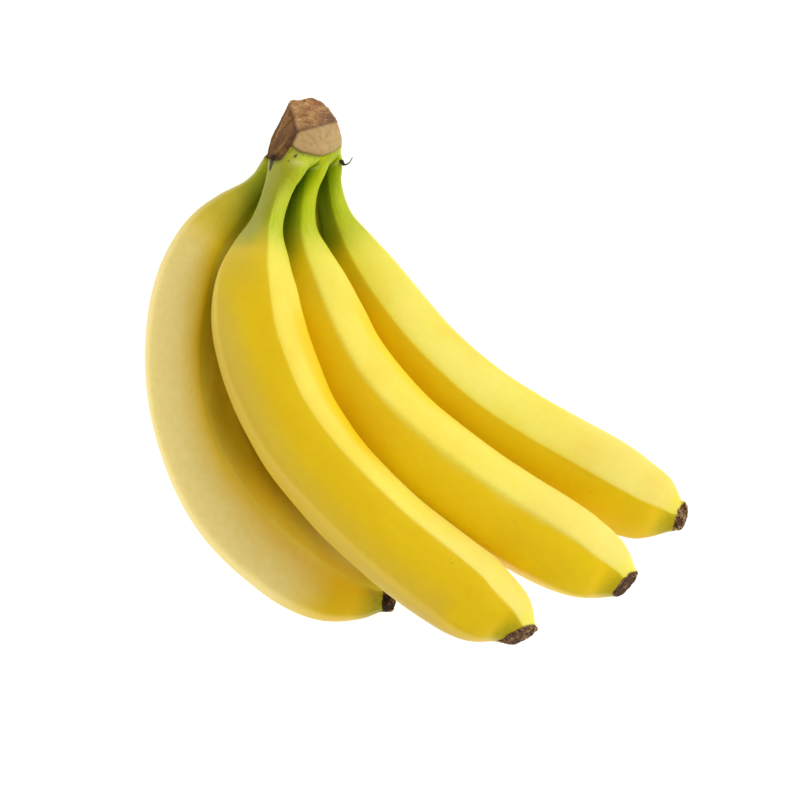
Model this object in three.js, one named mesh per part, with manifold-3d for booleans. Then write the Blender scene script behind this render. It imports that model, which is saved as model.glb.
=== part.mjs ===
// A cluster of five ripe bananas on one cut crown, lying on a flat surface.
// Millimetres, +Z up. The origin is under the middle of the bunch, on the surface.
// The crown points to -X and the fingers sweep towards +X. Two fingers and the
// crown are in the back row, low down, and the front row lies over them.
import * as THREE from "three";
import { ConvexGeometry } from "three/addons/geometries/ConvexGeometry.js";
import { mergeVertices } from "three/addons/utils/BufferGeometryUtils.js";
import Module from "manifold-3d";

// ---------------------------------------------------------------- dimensions

// One ring is a rounded pentagon: five soft ridges along the finger.
const SIDES = 15; // vertices round a ring, three to a face
const RINGS = 35; // rings along a finger
const RIDGES = 5;
// Sharpness of the ridges at stations along the finger (a higher power is sharper).
const RIDGE_AT = [0, 0.12, 0.3, 0.85, 1];
const RIDGE_POWER = [5, 5.5, 6, 6, 4];
const RIDGE_NORM = 1.035; // keeps the ring's area that of a circle of its radius

// The dry blossom end closes each finger: a short step and a low dome.
const CRUST_STEP = 1.7;
const CRUST_RATIO = 0.8;
const CRUST_DOME = 2.4;

// Gap between two pieces that touch.
const GAP = 0.3;

// Each finger is a row of stations from its neck, in the crown, to its blossom end:
// [x, y, z, mean radius, roll of the first ridge from straight up, in degrees].
const FINGERS = {
  banana_1: [ // back row, far left, the most curved
    [-93.01, 61.79, 25.71, 6.05, -30.4],
    [-96.17, 49.82, 31.49, 5.53, -30.5],
    [-100.48, 37.52, 33.16, 9.06, -30.5],
    [-103.19, 24.87, 32.30, 12.42, -30.4],
    [-102.44, 11.43, 30.98, 14.92, -29.5],
    [-99.55, -1.64, 28.99, 16.34, -28.3],
    [-94.69, -14.22, 27.01, 16.98, -25.3],
    [-88.56, -26.24, 25.22, 17.42, -24.0],
    [-81.20, -37.50, 23.57, 17.70, -23.9],
    [-72.34, -47.65, 22.04, 17.86, -24.4],
    [-62.29, -56.69, 20.94, 18.22, -25.7],
    [-51.01, -64.18, 20.13, 18.52, -26.8],
    [-38.76, -70.08, 19.55, 18.49, -28.8],
    [-25.83, -74.46, 18.94, 17.77, -31.5],
    [-12.59, -77.56, 18.37, 16.66, -33.7],
    [0.67, -78.36, 18.02, 14.63, -34.4],
    [13.09, -75.99, 17.77, 10.45, -32.0],
    [24.84, -71.52, 17.21, 4.69, -30.0],
  ],
  banana_2: [ // front row, the topmost
    [-88.95, 65.01, 39.13, 7.02, 4.1],
    [-87.12, 51.72, 41.74, 5.49, -0.1],
    [-84.80, 39.15, 46.36, 6.31, -9.1],
    [-81.68, 27.68, 52.16, 10.93, -18.1],
    [-77.58, 16.62, 57.58, 15.16, -22.4],
    [-71.45, 5.80, 61.82, 17.04, -26.8],
    [-63.18, -4.16, 64.76, 17.64, -26.7],
    [-53.58, -13.32, 66.69, 17.83, -27.7],
    [-43.05, -21.76, 67.83, 17.51, -30.1],
    [-31.32, -28.92, 68.34, 17.56, -33.5],
    [-18.54, -34.75, 68.44, 17.34, -36.8],
    [-5.16, -39.72, 68.34, 17.41, -38.8],
    [8.79, -43.83, 68.11, 17.36, -38.8],
    [23.13, -47.15, 67.86, 17.52, -38.9],
    [37.61, -49.79, 67.91, 17.28, -37.2],
    [51.71, -51.61, 68.62, 16.30, -32.1],
    [64.22, -52.11, 70.52, 11.63, -22.5],
    [74.05, -55.00, 74.38, 5.11, -16.6],
  ],
  banana_3: [ // front row, middle
    [-82.34, 70.18, 26.77, 6.31, -7.5],
    [-79.99, 56.67, 29.09, 6.22, -11.3],
    [-74.71, 44.17, 31.81, 7.16, -15.2],
    [-67.05, 33.82, 34.23, 10.86, -13.1],
    [-57.72, 24.58, 36.32, 13.74, -12.7],
    [-48.00, 15.53, 37.93, 15.43, -13.3],
    [-37.72, 7.09, 39.34, 16.11, -15.1],
    [-26.61, -0.02, 40.53, 17.01, -15.9],
    [-14.68, -5.88, 41.50, 17.53, -18.6],
    [-2.13, -10.47, 42.31, 17.73, -21.2],
    [10.96, -13.72, 43.00, 17.90, -22.7],
    [24.40, -16.15, 43.60, 17.95, -23.5],
    [38.10, -18.04, 44.22, 17.95, -23.7],
    [51.97, -19.43, 44.92, 17.87, -23.4],
    [65.86, -20.31, 45.83, 17.65, -23.0],
    [79.47, -20.66, 47.15, 16.46, -20.9],
    [92.33, -20.22, 49.52, 12.74, -14.2],
    [102.44, -20.88, 54.68, 5.62, -13.7],
  ],
  banana_4: [ // right-hand end of the rows
    [-77.60, 74.66, 14.32, 4.92, 0.6],
    [-71.35, 64.34, 16.58, 5.00, 3.0],
    [-63.72, 55.07, 18.02, 6.51, 5.2],
    [-54.51, 47.09, 17.74, 10.57, 4.9],
    [-44.28, 39.83, 17.10, 13.55, 2.1],
    [-33.54, 33.19, 16.73, 15.30, 0.1],
    [-22.42, 27.01, 16.68, 16.16, -2.2],
    [-10.87, 21.63, 16.69, 16.67, -4.4],
    [1.20, 17.39, 16.81, 17.08, -6.1],
    [13.71, 14.25, 16.99, 17.36, -5.2],
    [26.53, 12.04, 17.08, 17.47, -5.1],
    [39.58, 10.68, 17.14, 17.52, -5.1],
    [52.77, 10.02, 17.27, 17.57, -4.8],
    [65.99, 9.66, 17.52, 17.53, -4.1],
    [79.07, 9.43, 17.97, 17.39, -2.7],
    [91.73, 8.95, 18.64, 16.17, -3.0],
    [103.66, 9.62, 20.28, 13.11, -2.1],
    [114.23, 9.79, 23.63, 4.93, -6.4],
  ],
  banana_5: [ // back row, underneath
    [-88.19, 69.94, 9.27, 6.00, 26.7],
    [-80.58, 60.63, 9.85, 5.36, 22.6],
    [-75.83, 49.83, 10.60, 6.72, 19.6],
    [-73.56, 37.98, 11.44, 9.49, 17.5],
    [-71.91, 25.80, 12.69, 12.04, 15.9],
    [-69.56, 13.85, 13.70, 13.90, 14.5],
    [-65.56, 2.57, 14.97, 14.96, 13.3],
    [-59.80, -7.83, 16.37, 15.49, 12.2],
    [-52.24, -16.97, 17.75, 15.70, 11.2],
    [-42.98, -24.38, 19.14, 15.59, 10.1],
    [-32.59, -30.18, 20.53, 15.46, 9.1],
    [-21.55, -34.71, 21.91, 15.20, 7.9],
    [-10.14, -38.24, 23.25, 14.84, 6.8],
    [1.40, -41.28, 24.56, 14.24, 5.6],
    [12.90, -44.42, 25.85, 13.25, 4.5],
    [24.39, -47.55, 27.23, 11.56, 3.2],
    [35.94, -50.34, 28.83, 8.66, 1.6],
    [47.55, -52.68, 30.76, 5.23, -0.4],
  ],
};

// Corners of the crown: three cut faces, its rough back and the foot of the cushion.
const CROWN_POINTS = [
  [-90.89, 76.91, 44.89], // front corner
  [-101.72, 88.55, 18.08], // top face, left
  [-97.01, 91.56, 17.07], // top face, back left
  [-94.11, 94.11, 15.38], // top face, back
  [-89.39, 93.70, 19.60], // top face, back right
  [-83.70, 90.80, 28.49], // top face, right
  [-79.67, 88.28, 35.64], // top and front faces meet
  [-76.67, 85.25, 33.64], // front face, right
  [-74.65, 82.48, 32.36], // front face, right
  [-73.59, 80.01, 31.76], // front face, lower right
  [-74.76, 77.52, 32.79], // front face, bottom right
  [-77.16, 74.60, 34.77], // front face, bottom
  [-80.99, 72.06, 37.79], // front face, bottom
  [-86.15, 70.60, 41.76], // front face, bottom left
  [-90.39, 71.15, 44.40], // front face, left
  [-101.69, 83.39, 19.70], // left face
  [-101.64, 77.78, 18.31], // left face
  [-101.60, 71.94, 18.42], // left face
  [-99.56, 64.56, 21.08], // left face, bottom
  [-92.59, 64.46, 36.62], // left face, bottom right
  [-100.22, 88.66, 7.60], // back, top left
  [-93.97, 93.15, 5.05], // back, top
  [-85.59, 91.24, 6.63], // back, top right
  [-78.48, 85.32, 6.29], // back, right
  [-75.52, 80.42, 6.40], // back, lower right
  [-101.75, 74.38, 6.37], // back, left
  [-99.92, 66.22, 6.04], // back, lower left
];
const CROWN_NECK_SETBACK = 0.35; // how far the cushion stops short of each neck's first ring

// A dry strand at the side of the crown: [x, y, z, radius].
const FIBRE = [
  [-72.16, 76.41, 18.00, 0.85],
  [-71.21, 75.72, 18.42, 0.8],
  [-70.20, 75.90, 19.02, 0.5],
  [-69.39, 76.83, 19.60, 0.42],
  [-69.01, 78.21, 19.78, 0.36],
  [-69.03, 79.66, 19.55, 0.3],
];
const FIBRE_SIDES = 6;

// Colours (linear values are left to the renderer).
const COLOURS = {
  banana_1: 0xe0c268,
  banana_2: 0xf0cf2e,
  banana_3: 0xf2d233,
  banana_4: 0xf4d63c,
  banana_5: 0xe6bf2c,
  crown: 0xa8834f,
  dried_fibre: 0x3a2616,
};

// ------------------------------------------------------------------ geometry

// Value and slope of a Catmull-Rom curve through the rows of a table.
function along(table, u) {
  const n = table.length - 1;
  const x = Math.min(Math.max(u, 0), 1) * n;
  const i = Math.min(Math.floor(x), n - 1);
  const f = x - i;
  const row = (k) => {
    if (k < 0) return table[0].map((v, j) => 2 * v - table[1][j]);
    if (k > n) return table[n].map((v, j) => 2 * v - table[n - 1][j]);
    return table[k];
  };
  const [a, b, c, d] = [row(i - 1), row(i), row(i + 1), row(i + 2)];
  const value = b.map((_, j) => 0.5 * (2 * b[j] + (c[j] - a[j]) * f
    + (2 * a[j] - 5 * b[j] + 4 * c[j] - d[j]) * f * f
    + (-a[j] + 3 * b[j] - 3 * c[j] + d[j]) * f * f * f));
  const slope = b.map((_, j) => 0.5 * ((c[j] - a[j])
    + 2 * (2 * a[j] - 5 * b[j] + 4 * c[j] - d[j]) * f
    + 3 * (-a[j] + 3 * b[j] - 3 * c[j] + d[j]) * f * f));
  return { value, slope };
}

function table1(xs, ys, x) {
  if (x <= xs[0]) return ys[0];
  for (let i = 1; i < xs.length; i++) {
    if (x <= xs[i]) return ys[i - 1] + (ys[i] - ys[i - 1]) * (x - xs[i - 1]) / (xs[i] - xs[i - 1]);
  }
  return ys[ys.length - 1];
}

// Rounded pentagon in polar form, with its first ridge at angle 0.
function pentagon(angle, power) {
  let sum = 0;
  for (let k = 0; k < RIDGES; k++) {
    const face = (2 * Math.PI * (k + 0.5)) / RIDGES;
    sum += Math.max(Math.cos(angle - face), 0) ** power;
  }
  return sum ** (-1 / power) / RIDGE_NORM;
}

// One ring across a finger at u, shifted along the finger and scaled or grown.
function ring(table, u, { shift = 0, scale = 1, grow = 0 } = {}) {
  const { value, slope } = along(table, u);
  const t = new THREE.Vector3(slope[0], slope[1], slope[2]).normalize();
  const centre = new THREE.Vector3(value[0], value[1], value[2]).addScaledVector(t, shift);
  const up = new THREE.Vector3(0, 0, 1);
  const m1 = up.clone().addScaledVector(t, -up.dot(t)).normalize();
  const m2 = new THREE.Vector3().crossVectors(t, m1);
  const radius = value[3] * scale + grow;
  const roll = THREE.MathUtils.degToRad(value[4]);
  const power = table1(RIDGE_AT, RIDGE_POWER, u);
  const points = [];
  for (let j = 0; j < SIDES; j++) {
    const a = (2 * Math.PI * j) / SIDES;
    const r = radius * pentagon(a, power);
    points.push(centre.clone()
      .addScaledVector(m1, r * Math.cos(roll + a))
      .addScaledVector(m2, r * Math.sin(roll + a)));
  }
  return { centre, points, t };
}

// A closed skin over a row of rings, with a fan at each end.
function skin(rings, endPoint) {
  const sides = rings[0].points.length;
  const position = [];
  const index = [];
  for (const r of rings) for (const p of r.points) position.push(p.x, p.y, p.z);
  for (let i = 0; i < rings.length - 1; i++) {
    for (let j = 0; j < sides; j++) {
      const a = i * sides + j;
      const b = i * sides + ((j + 1) % sides);
      const c = b + sides;
      const d = a + sides;
      index.push(a, b, c, a, c, d);
    }
  }
  const first = position.length / 3;
  position.push(rings[0].centre.x, rings[0].centre.y, rings[0].centre.z);
  position.push(endPoint.x, endPoint.y, endPoint.z);
  const base = (rings.length - 1) * sides;
  for (let j = 0; j < sides; j++) {
    const k = (j + 1) % sides;
    index.push(first, k, j);
    index.push(first + 1, base + j, base + k);
  }
  const geometry = new THREE.BufferGeometry();
  geometry.setAttribute("position", new THREE.Float32BufferAttribute(position, 3));
  geometry.setIndex(index);
  return geometry;
}

function finger(table) {
  const rings = [];
  for (let i = 0; i < RINGS; i++) rings.push(ring(table, i / (RINGS - 1)));
  rings.push(ring(table, 1, { shift: CRUST_STEP, scale: CRUST_RATIO }));
  const last = rings[RINGS - 1];
  return skin(rings, last.centre.clone().addScaledVector(last.t, CRUST_DOME));
}

// The same finger grown by the gap, used to hollow its seat in the crown.
function seatCutter(table) {
  const rings = [ring(table, 0, { shift: -GAP, grow: GAP })];
  for (let i = 0; i < 12; i++) rings.push(ring(table, i / (RINGS - 1), { grow: GAP }));
  return skin(rings, rings[rings.length - 1].centre);
}

const wasm = await Module();
wasm.setup();

function toManifold(geometry) {
  const g = geometry.clone();
  g.deleteAttribute("normal");
  g.deleteAttribute("uv");
  const m = mergeVertices(g, 1e-4);
  return new wasm.Manifold(new wasm.Mesh({
    numProp: 3,
    vertProperties: new Float32Array(m.attributes.position.array),
    triVerts: new Uint32Array(m.index.array),
  }));
}

function fromManifold(solid) {
  const mesh = solid.getMesh();
  const geometry = new THREE.BufferGeometry();
  geometry.setAttribute("position", new THREE.BufferAttribute(new Float32Array(mesh.vertProperties), 3));
  geometry.setIndex(new THREE.BufferAttribute(new Uint32Array(mesh.triVerts), 1));
  return geometry;
}

// The crown is the hull of its cut corners and of the necks' roots, with a seat
// hollowed for every neck.
function crown() {
  const points = CROWN_POINTS.map((p) => new THREE.Vector3(p[0], p[1], p[2]));
  for (const table of Object.values(FINGERS)) {
    points.push(...ring(table, 0, { shift: -CROWN_NECK_SETBACK }).points);
  }
  let solid = toManifold(new ConvexGeometry(points));
  for (const table of Object.values(FINGERS)) solid = solid.subtract(toManifold(seatCutter(table)));
  const pieces = solid.decompose().sort((a, b) => b.volume() - a.volume());
  return fromManifold(pieces[0]);
}

function fibre() {
  const rings = FIBRE.map((row, i) => {
    const before = FIBRE[Math.max(i - 1, 0)];
    const after = FIBRE[Math.min(i + 1, FIBRE.length - 1)];
    const t = new THREE.Vector3(after[0] - before[0], after[1] - before[1], after[2] - before[2]).normalize();
    const centre = new THREE.Vector3(row[0], row[1], row[2]);
    const m1 = new THREE.Vector3(0, 0, 1).addScaledVector(t, -t.z).normalize();
    const m2 = new THREE.Vector3().crossVectors(t, m1);
    const points = [];
    for (let j = 0; j < FIBRE_SIDES; j++) {
      const a = (2 * Math.PI * j) / FIBRE_SIDES;
      points.push(centre.clone().addScaledVector(m1, row[3] * Math.cos(a)).addScaledVector(m2, row[3] * Math.sin(a)));
    }
    return { centre, points, t };
  });
  return skin(rings, rings[rings.length - 1].centre);
}

// -------------------------------------------------------------------- pieces

function piece(name, geometry, roughness) {
  geometry.computeVertexNormals();
  const material = new THREE.MeshStandardMaterial({ color: COLOURS[name], roughness, metalness: 0 });
  const mesh = new THREE.Mesh(geometry, material);
  mesh.name = name;
  return mesh;
}

const group = new THREE.Group();
group.name = "bunch_of_bananas";
group.add(piece("crown", crown(), 0.85));
for (const [name, table] of Object.entries(FINGERS)) group.add(piece(name, finger(table), 0.45));
group.add(piece("dried_fibre", fibre(), 0.9));

export default group;
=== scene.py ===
import math

import bmesh
import bpy
import numpy as np
from mathutils import Matrix, Vector
from mathutils.bvhtree import BVHTree


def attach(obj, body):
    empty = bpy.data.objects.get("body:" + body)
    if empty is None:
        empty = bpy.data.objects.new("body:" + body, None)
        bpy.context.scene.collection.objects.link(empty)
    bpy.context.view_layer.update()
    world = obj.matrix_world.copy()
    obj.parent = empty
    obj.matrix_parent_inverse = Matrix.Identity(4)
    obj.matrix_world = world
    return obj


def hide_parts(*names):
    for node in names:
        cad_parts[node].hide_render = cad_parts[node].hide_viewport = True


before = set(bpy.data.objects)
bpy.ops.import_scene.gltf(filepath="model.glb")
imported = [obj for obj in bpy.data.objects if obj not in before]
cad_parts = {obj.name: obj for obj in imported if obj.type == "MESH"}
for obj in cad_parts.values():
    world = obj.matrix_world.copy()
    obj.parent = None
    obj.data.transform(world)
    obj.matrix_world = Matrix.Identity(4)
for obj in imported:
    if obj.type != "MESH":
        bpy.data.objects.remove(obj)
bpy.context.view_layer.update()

MM = 0.001

# ------------------------------------------------------------------ the shapes, in mm
# Stations from neck to blossom end: x, y, z, mean radius, roll of the first ridge.
FINGERS = {
    "banana_1": [
        (-93.01, 61.79, 25.71, 6.05, -30.4),
        (-96.17, 49.82, 31.49, 5.53, -30.5),
        (-100.48, 37.52, 33.16, 9.06, -30.5),
        (-103.19, 24.87, 32.30, 12.42, -30.4),
        (-102.44, 11.43, 30.98, 14.92, -29.5),
        (-99.55, -1.64, 28.99, 16.34, -28.3),
        (-94.69, -14.22, 27.01, 16.98, -25.3),
        (-88.56, -26.24, 25.22, 17.42, -24.0),
        (-81.20, -37.50, 23.57, 17.70, -23.9),
        (-72.34, -47.65, 22.04, 17.86, -24.4),
        (-62.29, -56.69, 20.94, 18.22, -25.7),
        (-51.01, -64.18, 20.13, 18.52, -26.8),
        (-38.76, -70.08, 19.55, 18.49, -28.8),
        (-25.83, -74.46, 18.94, 17.77, -31.5),
        (-12.59, -77.56, 18.37, 16.66, -33.7),
        (0.67, -78.36, 18.02, 14.63, -34.4),
        (13.09, -75.99, 17.77, 10.45, -32.0),
        (24.84, -71.52, 17.21, 4.69, -30.0),
    ],
    "banana_2": [
        (-88.95, 65.01, 39.13, 7.02, 4.1),
        (-87.12, 51.72, 41.74, 5.49, -0.1),
        (-84.80, 39.15, 46.36, 6.31, -9.1),
        (-81.68, 27.68, 52.16, 10.93, -18.1),
        (-77.58, 16.62, 57.58, 15.16, -22.4),
        (-71.45, 5.80, 61.82, 17.04, -26.8),
        (-63.18, -4.16, 64.76, 17.64, -26.7),
        (-53.58, -13.32, 66.69, 17.83, -27.7),
        (-43.05, -21.76, 67.83, 17.51, -30.1),
        (-31.32, -28.92, 68.34, 17.56, -33.5),
        (-18.54, -34.75, 68.44, 17.34, -36.8),
        (-5.16, -39.72, 68.34, 17.41, -38.8),
        (8.79, -43.83, 68.11, 17.36, -38.8),
        (23.13, -47.15, 67.86, 17.52, -38.9),
        (37.61, -49.79, 67.91, 17.28, -37.2),
        (51.71, -51.61, 68.62, 16.30, -32.1),
        (64.22, -52.11, 70.52, 11.63, -22.6),
        (74.05, -55.00, 74.38, 5.11, -16.6),
    ],
    "banana_3": [
        (-82.34, 70.18, 26.77, 6.31, -7.5),
        (-79.99, 56.67, 29.09, 6.22, -11.3),
        (-74.71, 44.17, 31.81, 7.16, -15.2),
        (-67.05, 33.82, 34.23, 10.86, -13.1),
        (-57.72, 24.58, 36.32, 13.74, -12.7),
        (-48.00, 15.53, 37.93, 15.43, -13.3),
        (-37.72, 7.09, 39.34, 16.11, -15.1),
        (-26.61, -0.02, 40.53, 17.01, -15.9),
        (-14.68, -5.88, 41.50, 17.53, -18.6),
        (-2.13, -10.47, 42.31, 17.73, -21.2),
        (10.96, -13.72, 43.00, 17.90, -22.7),
        (24.40, -16.15, 43.60, 17.95, -23.5),
        (38.10, -18.04, 44.22, 17.95, -23.7),
        (51.97, -19.43, 44.92, 17.87, -23.4),
        (65.86, -20.31, 45.83, 17.65, -23.0),
        (79.47, -20.66, 47.15, 16.46, -20.9),
        (92.33, -20.22, 49.52, 12.74, -14.2),
        (102.44, -20.88, 54.68, 5.62, -13.7),
    ],
    "banana_4": [
        (-77.60, 74.66, 14.32, 4.92, 0.6),
        (-71.35, 64.34, 16.58, 5.00, 3.0),
        (-63.72, 55.07, 18.02, 6.51, 5.2),
        (-54.51, 47.09, 17.74, 10.57, 4.9),
        (-44.28, 39.83, 17.10, 13.55, 2.1),
        (-33.54, 33.19, 16.73, 15.30, 0.1),
        (-22.42, 27.01, 16.68, 16.16, -2.2),
        (-10.87, 21.63, 16.69, 16.67, -4.4),
        (1.20, 17.39, 16.81, 17.08, -6.0),
        (13.71, 14.25, 16.99, 17.36, -5.2),
        (26.53, 12.04, 17.08, 17.47, -5.1),
        (39.58, 10.68, 17.14, 17.52, -5.1),
        (52.77, 10.02, 17.27, 17.57, -4.8),
        (65.99, 9.66, 17.52, 17.53, -4.0),
        (79.07, 9.43, 17.97, 17.39, -2.7),
        (91.73, 8.95, 18.64, 16.17, -3.0),
        (103.66, 9.62, 20.28, 13.11, -2.1),
        (114.23, 9.79, 23.63, 4.93, -6.3),
    ],
    "banana_5": [
        (-88.19, 69.94, 9.27, 6.00, 26.7),
        (-80.58, 60.63, 9.85, 5.36, 22.6),
        (-75.83, 49.83, 10.60, 6.72, 19.6),
        (-73.56, 37.98, 11.44, 9.49, 17.5),
        (-71.91, 25.80, 12.69, 12.04, 15.8),
        (-69.56, 13.85, 13.70, 13.90, 14.5),
        (-65.56, 2.57, 14.97, 14.96, 13.3),
        (-59.80, -7.83, 16.37, 15.49, 12.2),
        (-52.24, -16.97, 17.75, 15.70, 11.2),
        (-42.98, -24.38, 19.14, 15.59, 10.1),
        (-32.59, -30.18, 20.53, 15.46, 9.1),
        (-21.55, -34.71, 21.91, 15.20, 7.9),
        (-10.14, -38.24, 23.25, 14.84, 6.8),
        (1.40, -41.28, 24.56, 14.24, 5.6),
        (12.90, -44.42, 25.85, 13.25, 4.5),
        (24.39, -47.55, 27.23, 11.56, 3.2),
        (35.94, -50.34, 28.83, 8.66, 1.6),
        (47.55, -52.68, 30.76, 5.23, -0.4),
    ],
}

CROWN_POINTS = [
    (-90.89, 76.91, 44.89, "front corner"),
    (-101.72, 88.55, 18.08, "top face, left"),
    (-97.01, 91.56, 17.07, "top face, back left"),
    (-94.11, 94.11, 15.38, "top face, back"),
    (-89.39, 93.70, 19.60, "top face, back right"),
    (-83.70, 90.80, 28.49, "top face, right"),
    (-79.67, 88.28, 35.64, "top and front faces meet"),
    (-76.67, 85.25, 33.64, "front face, right"),
    (-74.65, 82.48, 32.36, "front face, right"),
    (-73.59, 80.01, 31.76, "front face, lower right"),
    (-74.76, 77.52, 32.79, "front face, bottom right"),
    (-77.16, 74.60, 34.77, "front face, bottom"),
    (-80.99, 72.06, 37.79, "front face, bottom"),
    (-86.15, 70.60, 41.76, "front face, bottom left"),
    (-90.39, 71.15, 44.40, "front face, left"),
    (-101.69, 83.39, 19.70, "left face"),
    (-101.64, 77.78, 18.31, "left face"),
    (-101.60, 71.94, 18.42, "left face"),
    (-99.56, 64.56, 21.08, "left face, bottom"),
    (-92.59, 64.46, 36.62, "left face, bottom right"),
    (-100.22, 88.66, 7.60, "back, top left"),
    (-93.97, 93.15, 5.05, "back, top"),
    (-85.59, 91.24, 6.63, "back, top right"),
    (-78.48, 85.32, 6.29, "back, right"),
    (-75.52, 80.42, 6.40, "back, lower right"),
    (-101.75, 74.38, 6.37, "back, left"),
    (-99.92, 66.22, 6.04, "back, lower left"),
]

FIBRE = [
    (-72.16, 76.41, 18.0, 0.85),
    (-71.21, 75.72, 18.42, 0.8),
    (-70.2, 75.9, 19.02, 0.5),
    (-69.39, 76.83, 19.6, 0.42),
    (-69.01, 78.21, 19.78, 0.36),
    (-69.03, 79.66, 19.55, 0.3),
]

# Camera: the photograph's view, looking down on the bunch.
CAM_AT = np.array((-12.072, 16.433, 778.656))
CAM_RIGHT = np.array((0.891000, 0.453987, -0.003898))
CAM_UP = np.array((-0.453970, 0.890795, -0.019886))
CAM_BACK = np.array((-0.005555, 0.019488, 0.999795))
LENS, SENSOR, PIXELS = 85.0, 36.0, 800
FOCAL = LENS / SENSOR * PIXELS

RIDGES = 5
FACE = math.pi / RIDGES  # half the angle that one face takes
# A finger's section at points along it: how much of a face's turn is its bow, and the
# width of the ridges between the faces, in radians.
SECTION_AT = (0, 0.1, 0.25, 0.88, 1)
FACE_BOW = (0.55, 0.5, 0.45, 0.45, 0.6)
RIDGE_WIDTH = (0.10, 0.07, 0.05, 0.05, 0.09)


# ------------------------------------------------------------------ helpers

def smooth(a, b, x):
    t = np.clip((x - a) / (b - a), 0, 1)
    return t * t * (3 - 2 * t)


def unit(v):
    return v / np.maximum(np.linalg.norm(v, axis=-1, keepdims=True), 1e-12)


def lin(r, g, b):
    """An sRGB colour, 0 to 255, as linear values."""
    c = np.array((r, g, b), float) / 255
    c = np.where(c <= 0.04045, c / 12.92, ((c + 0.055) / 1.055) ** 2.4)
    return (float(c[0]), float(c[1]), float(c[2]))


def _rand(ix, iy, iz, seed):
    h = (ix.astype(np.uint32) * np.uint32(0x9E3779B1)) ^ (iy.astype(np.uint32) * np.uint32(0x85EBCA77))
    h = h ^ (iz.astype(np.uint32) * np.uint32(0xC2B2AE3D)) ^ np.uint32((seed * 0x27D4EB2F + 0x165667B1) & 0xFFFFFFFF)
    h = h ^ (h >> np.uint32(15))
    h = h * np.uint32(0x2C1B3C6D)
    h = h ^ (h >> np.uint32(12))
    h = h * np.uint32(0x297A2D39)
    h = h ^ (h >> np.uint32(15))
    return h.astype(np.float64) / 2147483647.5 - 1


def value_noise(p, size, seed=0):
    """Smooth noise from -1 to 1 with cells of the given size in mm."""
    q = p / np.asarray(size, float) + 517.3
    i = np.floor(q)
    f = q - i
    w = f * f * f * (f * (f * 6 - 15) + 10)
    i = i.astype(np.int64)
    out = 0
    for dx in (0, 1):
        for dy in (0, 1):
            for dz in (0, 1):
                k = (w[:, 0] if dx else 1 - w[:, 0]) * (w[:, 1] if dy else 1 - w[:, 1]) * (w[:, 2] if dz else 1 - w[:, 2])
                out = out + k * _rand(i[:, 0] + dx, i[:, 1] + dy, i[:, 2] + dz, seed)
    return out


def fbm(p, size, seed=0, octaves=4, gain=0.5):
    out, amp, total = 0, 1.0, 0.0
    size = np.asarray(size, float)
    for k in range(octaves):
        out = out + amp * value_noise(p, size, seed + 31 * k)
        total += amp
        amp *= gain
        size = size / 2.03
    return out / total


def catmull(table, u):
    """Value and slope of a Catmull-Rom curve through the rows of a table, for u from 0 to 1."""
    n = len(table) - 1
    x = np.clip(u, 0, 1) * n
    i = np.minimum(x.astype(int), n - 1)
    f = (x - i)[:, None]
    t = np.vstack([2 * table[0] - table[1], table, 2 * table[-1] - table[-2]])
    a, b, c, d = t[i], t[i + 1], t[i + 2], t[i + 3]
    value = 0.5 * (2 * b + (c - a) * f + (2 * a - 5 * b + 4 * c - d) * f ** 2 + (-a + 3 * b - 3 * c + d) * f ** 3)
    slope = 0.5 * ((c - a) + 2 * (2 * a - 5 * b + 4 * c - d) * f + 3 * (-a + 3 * b - 3 * c + d) * f ** 2)
    return value, slope


def section(theta, bow, width):
    """Share of the mean radius at angles theta from the first ridge; bow and width hold one value for each ring."""
    steps = 240
    d = np.linspace(-FACE, FACE, steps + 1)[None]
    b, w = np.asarray(bow, float)[:, None], np.asarray(width, float)[:, None]
    turn = b * d + (1 - b) * FACE * np.sinh(d / w) / np.sinh(FACE / w)
    slope = np.tan(d - turn)
    log_r = np.concatenate([np.zeros((len(b), 1)), np.cumsum((slope[:, 1:] + slope[:, :-1]) / 2, 1) * (2 * FACE / steps)], 1)
    r = np.exp(log_r)
    r *= 1.0067 / np.sqrt((r ** 2).mean(1, keepdims=True))
    x = np.mod(theta, 2 * FACE) / (2 * FACE) * steps
    i = np.minimum(x.astype(int), steps - 1)
    f = x - i
    return np.take_along_axis(r, i, 1) * (1 - f) + np.take_along_axis(r, i + 1, 1) * f


def pixel_of(p):
    """Where points in mm show in the 800 x 800 frame, and their depth along the view."""
    q = p - CAM_AT
    z = -(q @ CAM_BACK)
    return 400 + FOCAL * (q @ CAM_RIGHT) / z, 400 - FOCAL * (q @ CAM_UP) / z, z


def ray_of(u, v):
    d = CAM_RIGHT * (u - 400) / FOCAL - CAM_UP * (v - 400) / FOCAL - CAM_BACK
    return d / np.linalg.norm(d)


def add_mesh(name, verts_mm, faces, uv=None):
    me = bpy.data.meshes.new(name)
    me.from_pydata((np.asarray(verts_mm) * MM).tolist(), [], faces)
    me.polygons.foreach_set("use_smooth", np.ones(len(me.polygons), dtype=bool))
    if uv is not None:
        layer = me.uv_layers.new(name="OFBake")
        layer.uv.foreach_set("vector", np.asarray(uv, np.float32).ravel())
    me.update()
    ob = bpy.data.objects.new(name, me)
    bpy.context.scene.collection.objects.link(ob)
    return ob


def put(ob, name, values, kind="FLOAT"):
    values = np.asarray(values, np.float32)
    at = ob.data.attributes.new(name, kind, "POINT")
    at.data.foreach_set({"FLOAT": "value", "FLOAT_VECTOR": "vector", "FLOAT_COLOR": "color"}[kind], values.ravel())


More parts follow.
